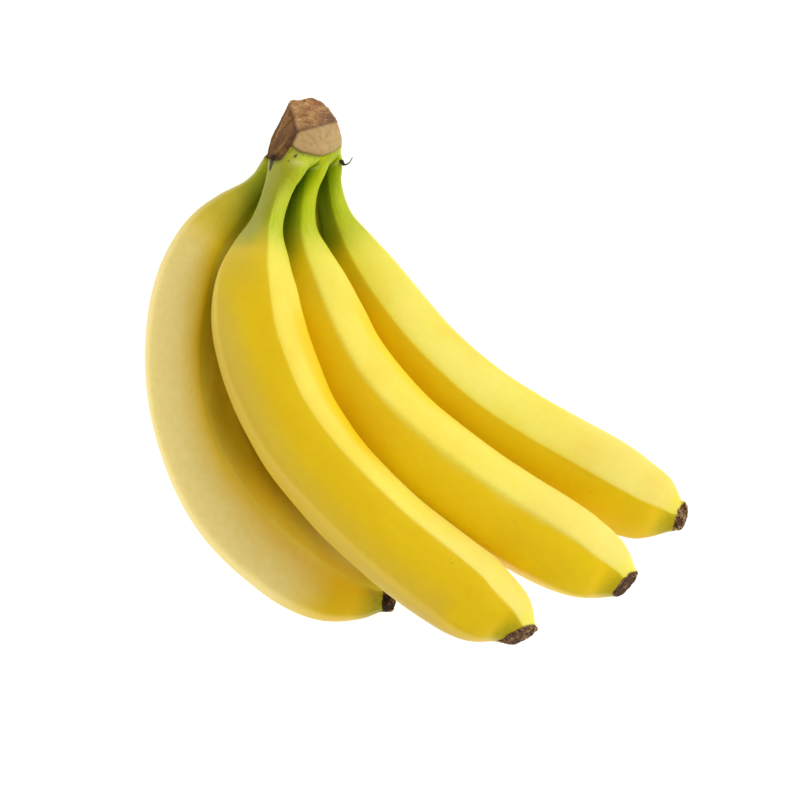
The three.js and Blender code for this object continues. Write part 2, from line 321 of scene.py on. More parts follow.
def blur_on_mesh(edges, count, values, rounds, pull=0.5):
    """Evens out values over a mesh's edges."""
    a, b = edges[:, 0], edges[:, 1]
    degree = np.bincount(a, minlength=count) + np.bincount(b, minlength=count)
    degree = np.maximum(degree, 1)
    x = np.array(values, float)
    flat = x.ndim == 1
    if flat:
        x = x[:, None]
    for _ in range(rounds):
        mean = np.stack([np.bincount(a, x[b, c], minlength=count) + np.bincount(b, x[a, c], minlength=count)
                         for c in range(x.shape[1])], 1) / degree[:, None]
        x = x + (pull[:, None] if isinstance(pull, np.ndarray) else pull) * (mean - x)
    return x[:, 0] if flat else x


# ------------------------------------------------------------------ fingers

PER_FACE = 24
SIDES = RIDGES * PER_FACE
ROOT = 2.5  # how far a neck runs on inside the crown
RUN_OFF = 8.0  # how far the taper is carried on past the last station, before the end is cut

# How each finger differs. cut: how far before its last station the dry end's plane crosses
# it; face: that plane's direction, as image right, image up and towards the camera; crust:
# its profile (mm proud, share of the cut's size); start: where the brown begins on the
# peel; knobs on the crust (direction, share of the way out, size and height in mm);
# burnt: how much darker the crust is; gold_shade: where the golden side starts, painted shade on the side away from the
# light; shade, near: how much painted shade darkens it beside the other necks and fingers; green: from and to mm along
# the neck; tail: length and strength of the olive tinge;
# bloom_and_sheen, dull: where the skin is pale, partly a waxy bloom and partly a painted sheen, or grey-green
# (direction, from, to, strength, mm, mm).
TRAITS = {
    "banana_1": dict(seed=11, lump=0.36, cut=2.0, face=(0.97, -0.10, 0.12), shrink=0.95, start=-0.4, burnt=0.75, gold_shade=(-0.1, 0.2), shade=0.3, gap_to=(34, 52), reach=9, near=(0.95, 11, 30, (0.9, 0.35, 0.35)), lean=((0.9, -0.4, 0.1), 8),
        crust=((0, 1.0), (1.4, 0.96), (2.7, 0.90), (3.7, 0.76), (4.1, 0.52), (4.0, 0.28), (4.1, 0)),
        knobs=(((0.1, -0.95, 0.3), 0.9, 1.2, 0.6),), rims=(),
        green=(7, 33), lime=54, tail=(13, 1.0, (0.3, -0.3, 1)),
        bloom_and_sheen=((-0.80, 0.10, 0.6), 0.10, 0.80, 1.0, 37, 196, 12), dull=((-0.3, 0.5, 0.8), -0.2, 0.8, 0.4, 0, 34, 7)),
    "banana_2": dict(seed=23, lump=0.34, cut=1.4, face=(0.42, -0.78, 0.47), shrink=0.98, start=-0.7, burnt=0.05, gold_shade=(-0.32, -0.08), shade=0.9, near=(0.45, 1, 16, (-0.95, 0.1, 0.1)), tan=((-0.82, -0.42, 0.32), 0.28, 0.88, 1.0, 42, 200, 5), rim=(0.42, 0.55, 0.92, (-0.82, -0.5, 0.1)),
        crust=((0, 1.0), (0.2, 0.97), (0.35, 0.86), (0.35, 0.68), (0.2, 0.4), (0.2, 0)),
        knobs=(((0.93, 0.36, 0.0), 0.95, 1.1, 0.9), ((0.7, 0.2, 0.7), 0.8, 1.1, 0.4)), rims=(((-0.93, -0.36, 0), 38, 2.4),),
        green=(25, 48), lime=70, tail=(9, 0.9, (-0.75, -0.45, 0.4)),
        bloom_and_sheen=None, dull=((-0.8, 0.1, 0.55), 0.45, 0.8, 0.8, 4, 41, 6)),
    "banana_3": dict(seed=37, lump=0.26, cut=1.2, face=(0.66, -0.61, 0.44), shrink=0.96, start=-0.15, burnt=0.25, gold_shade=(0.08, 0.36), shade=1.0, near=None, gap_to=(26, 52), reach=9,
        crust=((0, 1.0), (0.2, 0.99), (0.35, 0.94), (0.25, 0.84), (0.0, 0.72), (-0.15, 0.4), (-0.05, 0)),
        knobs=(((0.69, 0.72, 0.0), 0.95, 1.3, 0.5),), rims=(),
        green=(24, 46), lime=74, tail=(8, 0.8, (-0.5, -0.7, 0.4)),
        bloom_and_sheen=((-0.95, 0.15, 0.3), 0.7, 1.0, 0.2, 42, 150), dull=None),
    "banana_4": dict(seed=41, lump=0.36, cut=1.5, face=(0.90, -0.30, 0.30), shrink=0.92, start=-0.2, burnt=0.0, gold_shade=(0.08, 0.36), shade=1.0, near=(0.25, 0.5, 9, (-0.8, -0.5, 0.3)), reach=13,
        crust=((0, 0.97), (0.8, 0.88), (1.8, 0.84), (2.6, 0.72), (2.9, 0.5), (2.7, 0.28), (2.8, 0)),
        knobs=(((0.2, 0.2, 1.0), 0.75, 1.2, 0.8), ((0, -0.75, 0.6), 0.8, 1.2, 0.6), ((0.1, 0.95, 0.2), 0.95, 0.85, 1.9), ((0, -0.1, 1.0), 0.35, 1.0, 0.5)), rims=(),
        green=(22, 46), lime=76, tail=(9, 0.8, (-0.5, -0.7, 0.4)),
        bloom_and_sheen=((-0.95, 0.15, 0.3), 0.7, 1.0, 0.15, 42, 150), dull=None),
    "banana_5": dict(seed=59, lump=0.42, cut=0.5, face=None, shrink=0.95, start=-0.4, burnt=0.3, gold_shade=(-0.1, 0.2), near=None,
        crust=((0, 0.97), (1.2, 0.92), (2.2, 0.86), (2.7, 0.70), (2.7, 0.45), (2.5, 0.25), (2.6, 0)),
        knobs=(((0, 0.5, 0.8), 0.8, 1.1, 0.5),), rims=(),
        green=(1, 13), lime=20, shade=0.0, tail=(12, 0.7, (0, 0, 1)),
        bloom_and_sheen=((-0.9, 0.1, 0.3), 0.6, 1.0, 0.3, 40, 150), dull=None),
}


def seen(v):
    """A direction given as image right, image up and towards the camera, in the row frame."""
    return unit(v[0] * CAM_RIGHT + v[1] * CAM_UP + v[2] * CAM_BACK)


class Finger:
    """The bare form of one finger: its middle line, axes across it and radius, at any mm from the neck's root."""

    def __init__(self, name):
        table = np.array(FINGERS[name], float)
        fine = np.linspace(0, 1, 3001)
        value, slope = catmull(table, fine)
        run = np.concatenate([[0], np.cumsum(np.linalg.norm(np.diff(value[:, :3], axis=0), axis=1))])
        self.length = run[-1]
        if name == "banana_5":
            value[:, :3] += ((0.9 * smooth(14, 26, run) + 0.6 * smooth(28, 36, run)) * (1 - smooth(44, 60, run)))[:, None] * CAM_RIGHT
        t = unit(slope[:, :3])
        up = np.array((0, 0, 1.0))
        m1 = unit(up - t * (t @ up)[:, None])
        m2 = np.cross(t, m1)
        # carried on straight past both ends
        before, after = np.linspace(-12, -0.1, 60), np.linspace(0.05, RUN_OFF + 2, 80)
        taper = (value[-1, 3] - value[-60, 3]) / (run[-1] - run[-60])
        self.s = np.concatenate([before, run, run[-1] + after])
        self.centre = np.vstack([value[0, :3] + t[0] * before[:, None], value[:, :3], value[-1, :3] + t[-1] * after[:, None]])
        hold = lambda x: np.concatenate([np.repeat(x[:1], 60, 0), x, np.repeat(x[-1:], 80, 0)])
        self.t, self.m1, self.m2 = hold(t), hold(m1), hold(m2)
        end_r = np.maximum(value[-1, 3] + taper * 3.0 * (1 - np.exp(-after / 3.0)), 1.0)
        self.radius = np.concatenate([np.repeat(value[:1, 3], 60), value[:, 3], end_r])
        self.roll = hold(np.radians(value[:, 4]))
        self.u = hold(fine)

    def at(self, s):
        """Centre, m1, m2, radius, roll and share of the length at s, which may be an array of any shape."""
        s = np.asarray(s, float)
        pick = lambda x: np.interp(s, self.s, x)
        many = lambda x: np.stack([pick(x[:, i]) for i in range(3)], -1)
        return many(self.centre), many(self.m1), many(self.m2), pick(self.radius), pick(self.roll), pick(self.u)

    def skin(self, s, theta):
        """Points on the bare form, and their outward directions, for arrays s and theta of rings by sides."""
        c, m1, m2, r, roll, u = self.at(s)
        out = np.cos(roll + theta)[..., None] * m1 + np.sin(roll + theta)[..., None] * m2
        um = u.mean(1)
        share = section(theta, np.interp(um, SECTION_AT, FACE_BOW), np.interp(um, SECTION_AT, RIDGE_WIDTH))
        return c + (r * share)[..., None] * out, out, r


FORMS = {name: Finger(name) for name in FINGERS}

# angles round a ring, from the first ridge, closer together near the ridges
_x = np.linspace(-1, 1, PER_FACE + 1)[:-1]
THETA = np.concatenate([(2 * k + 1) * FACE + FACE * (0.25 * _x + 0.75 * np.sin(np.pi * _x / 2)) for k in range(RIDGES)])


def make_finger(name):
    k, form = TRAITS[name], FORMS[name]
    seed, length = k["seed"], form.length
    rng = np.random.default_rng(seed)
    # the plane that cuts off the blossom end
    normal_end = seen(k["face"]) if k["face"] else form.t[-1]
    c0 = form.at(np.array([length - k["cut"]]))[0][0]
    probe = np.linspace(length - 24, length + RUN_OFF, 400)
    PS, TH = np.meshgrid(probe, THETA, indexing="ij")
    hit = (form.skin(PS, TH)[0] - c0) @ normal_end
    first = np.argmax(hit > 0, axis=0)
    first = np.where(first == 0, len(probe) - 1, first)
    col = np.arange(SIDES)
    h0, h1 = hit[first - 1, col], hit[first, col]
    s_end = probe[first - 1] + (probe[first] - probe[first - 1]) * np.clip(-h0 / np.where(h1 == h0, 1, h1 - h0), 0, 1)
    bend_from = min(length - 16, s_end.min() - 4)
    base = np.concatenate([np.arange(-ROOT, 26, 0.5), np.arange(26, bend_from, 0.62), bend_from + np.arange(0, 1.0001, 1 / 46) * (length - bend_from)])
    way = np.clip((base - bend_from) / (length - bend_from), 0, 1)[:, None]
    S = np.where(way > 0, bend_from + way * (s_end[None] - bend_from), base[:, None])
    n_body = len(base)
    TH = np.broadcast_to(THETA[None], S.shape)
    P, out, radius = form.skin(S, TH)
    # a slight pinch just before the crust
    T = S - s_end[None]
    if k["shrink"] != 1:
        c = form.at(S)[0]
        P = c + (P - c) * (1 + (k["shrink"] - 1) * smooth(-7, -0.3, T))[..., None]
    # the crust: rings that close in over the cut
    edge_ring = P[-1]
    mid = edge_ring.mean(0)
    end_r = np.linalg.norm(edge_ring - mid, axis=1).mean()
    prof = np.array(k["crust"], float)
    path = np.concatenate([[0], np.cumsum(np.hypot(np.diff(prof[:, 0]), np.diff(prof[:, 1]) * end_r))])
    w = np.arange(0.2, path[-1] - 0.12, 0.2)
    proud, share = np.interp(w, path, prof[:, 0]), np.interp(w, path, prof[:, 1])
    cap = mid + share[:, None, None] * (edge_ring - mid)[None] + proud[:, None, None] * normal_end
    n_end = len(w)
    P = np.concatenate([P, cap])
    T = np.concatenate([T, np.repeat(w[:, None], SIDES, 1)])
    S = np.concatenate([S, s_end[None] + w[:, None]])
    out = np.concatenate([out, np.repeat(out[-1:], n_end, 0)])
    radius = np.concatenate([radius, np.maximum(share[:, None] * end_r, 0.3).repeat(SIDES, 1)])
    TH = np.broadcast_to(THETA[None], S.shape)
    n = len(S)
    flat = P.reshape(-1, 3)
    grid = lambda x: x.reshape(n, SIDES)
    on_body = smooth(0, 12, S) * (1 - smooth(-8, -1, T))
    # distance round the ring to the nearest ridge, in mm
    off = np.mod(TH + FACE, 2 * FACE) - FACE
    ridge_no = np.mod(np.round(TH / (2 * FACE)).astype(int), RIDGES)
    strong = rng.uniform(0.55, 1.0, RIDGES)[ridge_no]
    to_ridge = off * radius
    ridge = np.exp(-(to_ridge / 1.6) ** 2)
    # slow swells and shallow dents
    dr = on_body * (0.20 * grid(value_noise(flat, 26, seed)) + 0.07 * grid(value_noise(flat, 10, seed + 1)))
    for _ in range(16):
        s0, a0 = rng.uniform(30, length - 20), rng.uniform(0, 2 * np.pi)
        size, depth = rng.uniform(1.8, 6.0), rng.uniform(0.03, 0.13)
        da = (np.mod(TH - a0 + np.pi, 2 * np.pi) - np.pi) * radius
        dr -= depth * np.exp(-((S - s0) / (size * 2.2)) ** 2 - (da / size) ** 2) * (T < 0)
    # fine lines on the neck, small pleats at the blossom end
    lines = np.stack([np.cos(TH) * radius, np.sin(TH) * radius, S / 18], -1).reshape(-1, 3)
    neckish = 1 - smooth(16, 46, S)
    dr += (0.015 + 0.075 * neckish) * grid(fbm(lines, 1.7, seed + 5, 3)) * (1 - smooth(-1, 0, T))
    pleat = smooth(-6, -0.4, T) * (1 - smooth(0, 0.5, T))
    dr += pleat * 0.10 * grid(fbm(lines, 1.4, seed + 6, 2))
    # the root is drawn in under the crown's skin, which runs on over it
    dr -= 1.6 * (1 - smooth(0.5, 6.8, S))
    # where the crust starts
    ring_dir = unit(edge_ring - mid)

    def away(v):
        """Angle round the end from a seen direction."""
        d = seen(v)
        d = unit(d - normal_end * (d @ normal_end))
        return np.broadcast_to(np.arccos(np.clip(ring_dir @ d, -1, 1))[None], S.shape)

    edge = np.full(S.shape, float(k["start"]))
    for v, wide, far in k["rims"]:
        edge -= far * (1 - smooth(0, math.radians(wide), away(v)))
    around = np.stack([np.cos(TH) * 6, np.sin(TH) * 6, np.zeros_like(TH) + seed], -1).reshape(-1, 3)
    edge += 0.55 * grid(fbm(around, 2.0, seed + 7, 3))
    crust = smooth(-0.28, 0.22, T - edge)
    dr += 0.10 * np.exp(-((T - edge + 0.45) / 0.4) ** 2) - 0.08 * crust * (T < 0)
    P = P + dr[..., None] * out * (1 - smooth(-0.2, 0.6, T))[..., None]
    # rough lumps on the crust, along its own normal
    di = np.gradient(P, axis=0)
    dj = np.roll(P, -1, 1) - np.roll(P, 1, 1)
    normal = unit(np.cross(dj, di))
    normal = normal * np.sign((normal[:n_body] * out[:n_body]).sum(-1).mean())
    flat = P.reshape(-1, 3)
    coarse = grid(fbm(flat, 2.4, seed + 8, 2))
    grit = 1 - 2.4 * np.abs(grid(fbm(flat, 1.05, seed + 9, 2)))
    small = grid(fbm(flat, 0.5, seed + 10, 2))
    lumps = 0.7 * coarse + 0.45 * grit + 0.3 * small
    fade = smooth(-0.1, 0.9, T - edge)
    P = P + (k["lump"] * fade * lumps)[..., None] * normal
    reach = np.concatenate([np.ones(n_body), share])[:, None]
    for v, at_share, size, high in k["knobs"]:
        da = away(v) * end_r * np.maximum(reach, 0.2)
        dl = (reach - at_share) * end_r + np.minimum(T, 0) * 1.0
        knob = high * np.exp(-(dl / size) ** 2 - (da / size) ** 2) * smooth(-1.5, 0.3, T)
        P = P + knob[..., None] * normal
        lumps = lumps + 0.8 * knob / high
    # faces
    verts = P.reshape(-1, 3).tolist()
    i0 = np.arange(n - 1)[:, None] * SIDES
    j0 = np.arange(SIDES)[None]
    j1 = (j0 + 1) % SIDES
    quads = np.stack([i0 + j0, i0 + j1, i0 + SIDES + j1, i0 + SIDES + j0], -1).reshape(-1, 4)
    # map: round the finger across, along it upwards, the blossom end given extra room
    sm = S.mean(1)
    end_from = sm[n_body - 12]
    vv = np.where(sm < end_from, 0.02 + 0.86 * (sm - sm[0]) / (end_from - sm[0]), 0.88 + 0.11 * (sm - end_from) / (sm[-1] - end_from))
    roll_mid = float(np.median(form.roll))
    seam = int(np.argmin(np.abs(np.angle(np.exp(1j * (THETA + roll_mid - math.pi))))))
    angle = np.concatenate([THETA[seam:], THETA[:seam] + 2 * np.pi, THETA[seam:seam + 1] + 2 * np.pi])
    angle = np.unwrap(angle)
    pos = 0.01 + 0.98 * (angle - angle[0]) / (2 * np.pi)
    order = (np.arange(SIDES) - seam) % SIDES
    u0, u1 = pos[order], pos[order + 1]
    U0, U1 = np.broadcast_to(u0[None], (n - 1, SIDES)), np.broadcast_to(u1[None], (n - 1, SIDES))
    V0, V1 = np.broadcast_to(vv[:-1, None], (n - 1, SIDES)), np.broadcast_to(vv[1:, None], (n - 1, SIDES))
    uv = np.stack([np.stack([U0, V0], -1), np.stack([U1, V0], -1), np.stack([U1, V1], -1), np.stack([U0, V1], -1)], 2).reshape(-1, 2)
    faces = quads.tolist()
    root, tip = len(verts), len(verts) + 1
    verts.append(P[0].mean(0).tolist())
    verts.append(P[-1].mean(0).tolist())
    caps, cap_uv = [], []
    last = (n - 1) * SIDES
    for j in range(SIDES):
        q = (j + 1) % SIDES
        m = (u0[j] + u1[j]) / 2
        caps.append([root, q, j])
        cap_uv += [(m, 0.005), (u1[j], 0.019), (u0[j], 0.019)]
    for j in range(SIDES):
        q = (j + 1) % SIDES
        m = (u0[j] + u1[j]) / 2
        caps.append([tip, last + j, last + q])
        cap_uv += [(m, 0.999), (u0[j], 0.991), (u1[j], 0.991)]
    # keep every face pointing out
    a, b, d = (np.array(verts[faces[0][i]]) for i in (0, 1, 3))
    if np.cross(b - a, d - a) @ out[0, 0] < 0:
        faces = [f[::-1] for f in faces]
        uv = uv.reshape(-1, 4, 2)[:, ::-1].reshape(-1, 2)
        caps = [[c[0], c[2], c[1]] for c in caps]
        cap_uv = [cap_uv[3 * (i // 3) + (0, 2, 1)[i % 3]] for i in range(len(cap_uv))]
    ob = add_mesh(name + "_skin", verts, faces + caps, np.vstack([uv, np.array(cap_uv)]))
    # what the skin's colour follows
    di = np.gradient(P, axis=0)
    dj = np.roll(P, -1, 1) - np.roll(P, 1, 1)
    facing = unit(np.cross(dj, di))
    facing = facing * np.sign((facing[:n_body] * out[:n_body]).sum(-1).mean())
    for _ in range(3):
        facing[1:-1] = (facing[:-2] + facing[1:-1] + facing[2:]) / 3
    values = skin_values(name, P.reshape(-1, 3), S.ravel(), TH.ravel(), out.reshape(-1, 3), T.ravel(), unit(facing).reshape(-1, 3))
    values["crust"] = crust.ravel()
    values["lumps"] = lumps.ravel() - k["burnt"]
    values["ridge"] = (ridge * strong).ravel() * (1 - smooth(-0.5, 0.5, T.ravel()))
    for key, x in values.items():
        if x.ndim == 2:
            put(ob, key, np.vstack([x, x[:SIDES].mean(0), x[-SIDES:].mean(0)]), "FLOAT_VECTOR")
        else:
            put(ob, key, np.concatenate([x, [x[:SIDES].mean()], [x[-SIDES:].mean()]]))
    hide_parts(name)
    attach(ob, "root")
    return ob


def skin_values(name, flat, S, TH, out, T, facing):
    """Where the skin is green, lime, olive, pale (partly a painted sheen), dull or golden (painted shade), where
    painted shade darkens it or painted light lifts it, and the direction its fibres run.
    """
    k, form = TRAITS[name], FORMS[name]
    seed, length = k["seed"], form.length
    r = np.maximum(form.at(S)[3], 3)
    lines = np.stack([np.cos(TH) * r, np.sin(TH) * r, S / 18], -1)
    wander = fbm(flat, 13, seed + 12, 3)
    streak = fbm(lines, 3.0, seed + 13, 3)
    lo, hi = k["green"]
    where = S + 2.4 * wander + 0.9 * streak
    if "lean" in k:
        where = where - k["lean"][1] * (out @ seen(k["lean"][0]))
    neck = 1 - smooth(lo, hi, where)
    lime = 1 - smooth(lo + 4, k["lime"], S + 8 * wander + 3 * streak)
    far, strength, side = k["tail"]
    toward = 0.45 + 0.55 * smooth(-0.2, 0.9, out @ seen(side))
    tail = strength * toward * smooth(-far, -0.5, T + 1.5 * wander + 0.5 * streak)

    def patch(spec, soft):
        if spec is None:
            return np.zeros_like(S)
        v, a, b, power, s0, s1, *own = spec
        soft = own[0] if own else soft
        toward = out @ seen(v) + 0.05 * wander + 0.03 * streak
        return power * smooth(a, b, toward) * smooth(s0 - soft, s0 + soft, S + 3 * wander) * (1 - smooth(s1 - soft, s1 + soft, S + 3 * wander))

    # how close the other necks are
    close = np.full(len(S), 99.0)
    near_root = np.where((S < 56) | ((k["near"] is not None) & (T < 3)))[0]
    for other, f2 in FORMS.items():
        if other != name and len(near_root):
            step = np.linspace(-4, f2.length, 90)
            line, _, _, rad, _, _ = f2.at(step)
            for j in range(0, len(near_root), 4000):
                part = near_root[j:j + 4000]
                gap = np.linalg.norm(flat[part][:, None] - line[None], axis=2) - rad[None]
                close[part] = np.minimum(close[part], gap.min(1))
    # painted shade: the necks darken where another neck lies close
    gap = k["shade"] * (1 - smooth(0.8, k.get("reach", 7.5), close + 0.6 * wander)) * (1 - smooth(*k.get("gap_to", (26, 40)), S)) * smooth(-1, 3, S)
    # the skin's direction, leaving out its lean along the finger
    along = unit(np.stack([np.interp(S, form.s, form.t[:, i]) for i in range(3)], -1))
    across = unit(facing - along * (facing * along).sum(-1)[:, None])
    near = np.zeros(len(S))
    # painted shade: darker where another finger lies close
    if k["near"]:
        power, n0, n1, v = k["near"]
        lo, hi = (0.10, 0.55) if name == "banana_1" else (0.0, 0.5)
        if name == "banana_1":
            low = smooth(105, 165, S)
            n0, n1 = n0 - 6 * low, n1 - 12 * low
        near = power * (1 - smooth(n0, n1, close + 0.8 * wander)) * smooth(*((34, 62) if name == "banana_1" else (22, 50)), S) * smooth(lo, hi, across @ seen(v))
        if name == "banana_1":
            near = near * (1 - 0.15 * low)
            # painted shade: a darker band along the first finger's neck
            near = np.maximum(near, 0.3 * smooth(6, 16, S) * (1 - smooth(28, 44, S)) * smooth(-0.3, 0.5, out @ seen((0.9, -0.4, 0.1))))
    # painted shade along the second finger's far left edge, beside the first
    if "rim" in k:
        power, lo, hi, v = k["rim"]
        near = np.maximum(near, power * smooth(lo, hi, out @ seen(v)) * smooth(40, 60, S) * (1 - smooth(-22, -8, T)))
    # skin that lies in a narrow gap mirrors nothing bright
    veil = (1 - smooth(4, 16, close)) * (1 - smooth(44, 56, S)) if name != "banana_2" else np.zeros(len(S))
    gloss = 1 - np.clip(np.maximum(np.maximum(gap, near) / 0.8, veil), 0, 1)
    # pale skin: partly a waxy bloom, partly a painted sheen on the sides that face the left
    bloom_and_sheen = patch(k["bloom_and_sheen"], 14)
    # a duller tan on the second finger's lower-left face, partly the skin's own tone and partly a painted grazing sheen
    tan = patch(k.get("tan"), 4) * (1 - 0.38 * smooth(80, 130, S))
    if "tan" in k:
        # right across the face just below the neck
        tan = np.maximum(tan, 0.9 * smooth(36, 42, S + 3 * wander) * (1 - smooth(46, 66, S + 3 * wander)) * smooth(-0.15, 0.5, out @ seen(k["tan"][0])))
    dull = patch(k["dull"], 2.5)
    # painted light and shade: golden and darker on the side away from the light, lemon on the lit side
    gold_shade = smooth(*k["gold_shade"], across @ seen((-0.72, -0.55, 0.25)) + 0.04 * wander)
    # painted shade: more of the golden shaded colour at mid-length and where the far edge turns away
    if name in ("banana_2", "banana_3"):
        mid_length = smooth(50, 76, S + 5 * wander) * (1 - smooth(130, 160, S + 5 * wander))
        turned = smooth(0.78, 0.95, out @ seen((0.93, 0.36, 0.0)))
        gold_shade = np.maximum(gold_shade, mid_length * ((0.40 if name == "banana_2" else 0.26) + 0.55 * turned))
    if name == "banana_5":
        gold_shade = gold_shade * smooth(60, 90, S)
    # painted light: the lit lemon side pales towards the blossom end
    if name != "banana_1":
        bloom_and_sheen = np.maximum(bloom_and_sheen, 0.32 * (1 - gold_shade) * smooth(-80, -25, T + 6 * wander) * (1 - smooth(-6, -2, T)))
    # painted light: the golden side of the third and fourth fingers made lighter where the second finger shades them
    lift = np.full(len(S), {"banana_3": 1.0, "banana_4": 0.8}.get(name, 0.0))
    grain = np.stack([np.cos(TH) * r, np.sin(TH) * r, S + 37.0 * (seed % 9)], -1)
    return dict(neck=neck, lime=lime, tail=tail, bloom_and_sheen=bloom_and_sheen, dull=dull, gold_shade=gold_shade, gap=gap, near=near, tan=tan, lift=lift, gloss=gloss, grain=grain)


# ------------------------------------------------------------------ crown

CROWN = np.array([p[:3] for p in CROWN_POINTS], float)
CROWN_TAG = [p[3] for p in CROWN_POINTS]


def plane_of(*tags):
    """Outward plane through the crown corners whose notes start with these words."""
    pts = CROWN[[i for i, t in enumerate(CROWN_TAG) if t.startswith(tags)]]
    c = pts.mean(0)
    n = np.linalg.svd(pts - c)[2][2]
    if n @ (c - CROWN.mean(0)) < 0:
        n = -n
    return n, c


TAN_PLANE = plane_of("front corner", "front face", "top and front")
TOP_PLANE = plane_of("front corner", "top face", "top and front")
LEFT_PLANE = plane_of("front corner", "left face", "top face, left")
BACK_PLANE = plane_of("back")


def ring_points(name, at, grow=0.0, sides=60):
    """A ring across a finger, at mm from its neck's root; less than 0 is inside the crown."""
    th = 2 * np.pi * np.arange(sides)[None] / sides
    p, out, _ = FORMS[name].skin(np.full(th.shape, float(at)), th)
    return (p + grow * out)[0]


# How proud of the necks the crown's skin is, at mm from the roots, before it slips under theirs.
COLLAR = ((-1, 1.0), (0, 1.0), (1.5, 0.9), (3, 0.7), (5, 0.38), (7, 0.12), (8.2, -0.12), (9.5, -0.7))


def crown_block():
    """The union of the cut block and of a collar round each neck, evenly remeshed."""
    bm = bmesh.new()
    pts = list(CROWN)
    for name in FINGERS:
        pts += list(ring_points(name, -0.35))
    for p in pts:
        bm.verts.new(p * MM)
    found = bmesh.ops.convex_hull(bm, input=bm.verts[:])
    loose = [e for e in found["geom_interior"] + found["geom_unused"] if isinstance(e, bmesh.types.BMVert) and e.is_valid]
    bmesh.ops.delete(bm, geom=list(set(loose)), context="VERTS")
    # collars: lofts that start in the block and end a little way down each neck
    for name in FINGERS:
        rows = [ring_points(name, -4.0, -0.6), ring_points(name, -1.0, 0.2)]
        rows += [ring_points(name, at, grow) for at, grow in COLLAR]
        rings = [[bm.verts.new(p * MM) for p in row] for row in rows]
        n = len(rings[0])
        for a, b in zip(rings[:-1], rings[1:]):
            for j in range(n):
                bm.faces.new((a[j], a[(j + 1) % n], b[(j + 1) % n], b[j]))
        bm.faces.new(rings[0][::-1])
        bm.faces.new(rings[-1])
    bmesh.ops.recalc_face_normals(bm, faces=bm.faces[:])
    me = bpy.data.meshes.new("crown_block")
    bm.to_mesh(me)
    bm.free()
    ob = bpy.data.objects.new("crown_block", me)
    bpy.context.scene.collection.objects.link(ob)
    mod = ob.modifiers.new("remesh", "REMESH")
    mod.mode = "VOXEL"
    mod.voxel_size = 0.36 * MM
    dg = bpy.context.evaluated_depsgraph_get()
    done = bpy.data.meshes.new_from_object(ob.evaluated_get(dg))
    bpy.data.objects.remove(ob)
    bpy.data.meshes.remove(me)
    return done


def on_necks(P):
    """The nearest neck for each point: its name's place in the list, s, theta and height above its bare form."""
    best = [np.full(len(P), 1e9), np.zeros(len(P), int), np.zeros(len(P)), np.zeros(len(P)), np.zeros((len(P), 3))]
    for i, form in enumerate(FORMS.values()):
        use = form.s < 16
        line = form.centre[use]
        near = np.empty(len(P), int)
        for j in range(0, len(P), 4000):
            near[j:j + 4000] = ((P[j:j + 4000, None] - line[None]) ** 2).sum(-1).argmin(1)
        s = form.s[use][near]
        s = s + ((P - line[near]) * form.t[use][near]).sum(-1)
        c, m1, m2, r, roll, u = form.at(s)
        off = P - c
        theta = np.arctan2((off * m2).sum(-1), (off * m1).sum(-1)) - roll
        share = section(theta[:, None], np.interp(u, SECTION_AT, FACE_BOW), np.interp(u, SECTION_AT, RIDGE_WIDTH))[:, 0]
        flat = off - (off * form.t[use][near]).sum(-1)[:, None] * form.t[use][near]
        high = np.linalg.norm(flat, axis=1) - r * share
        better = high < best[0]
        for k, x in enumerate((high, np.full(len(P), i), s, theta)):
            best[k] = np.where(better, x, best[k])
        best[4] = np.where(better[:, None], unit(flat), best[4])
    return best


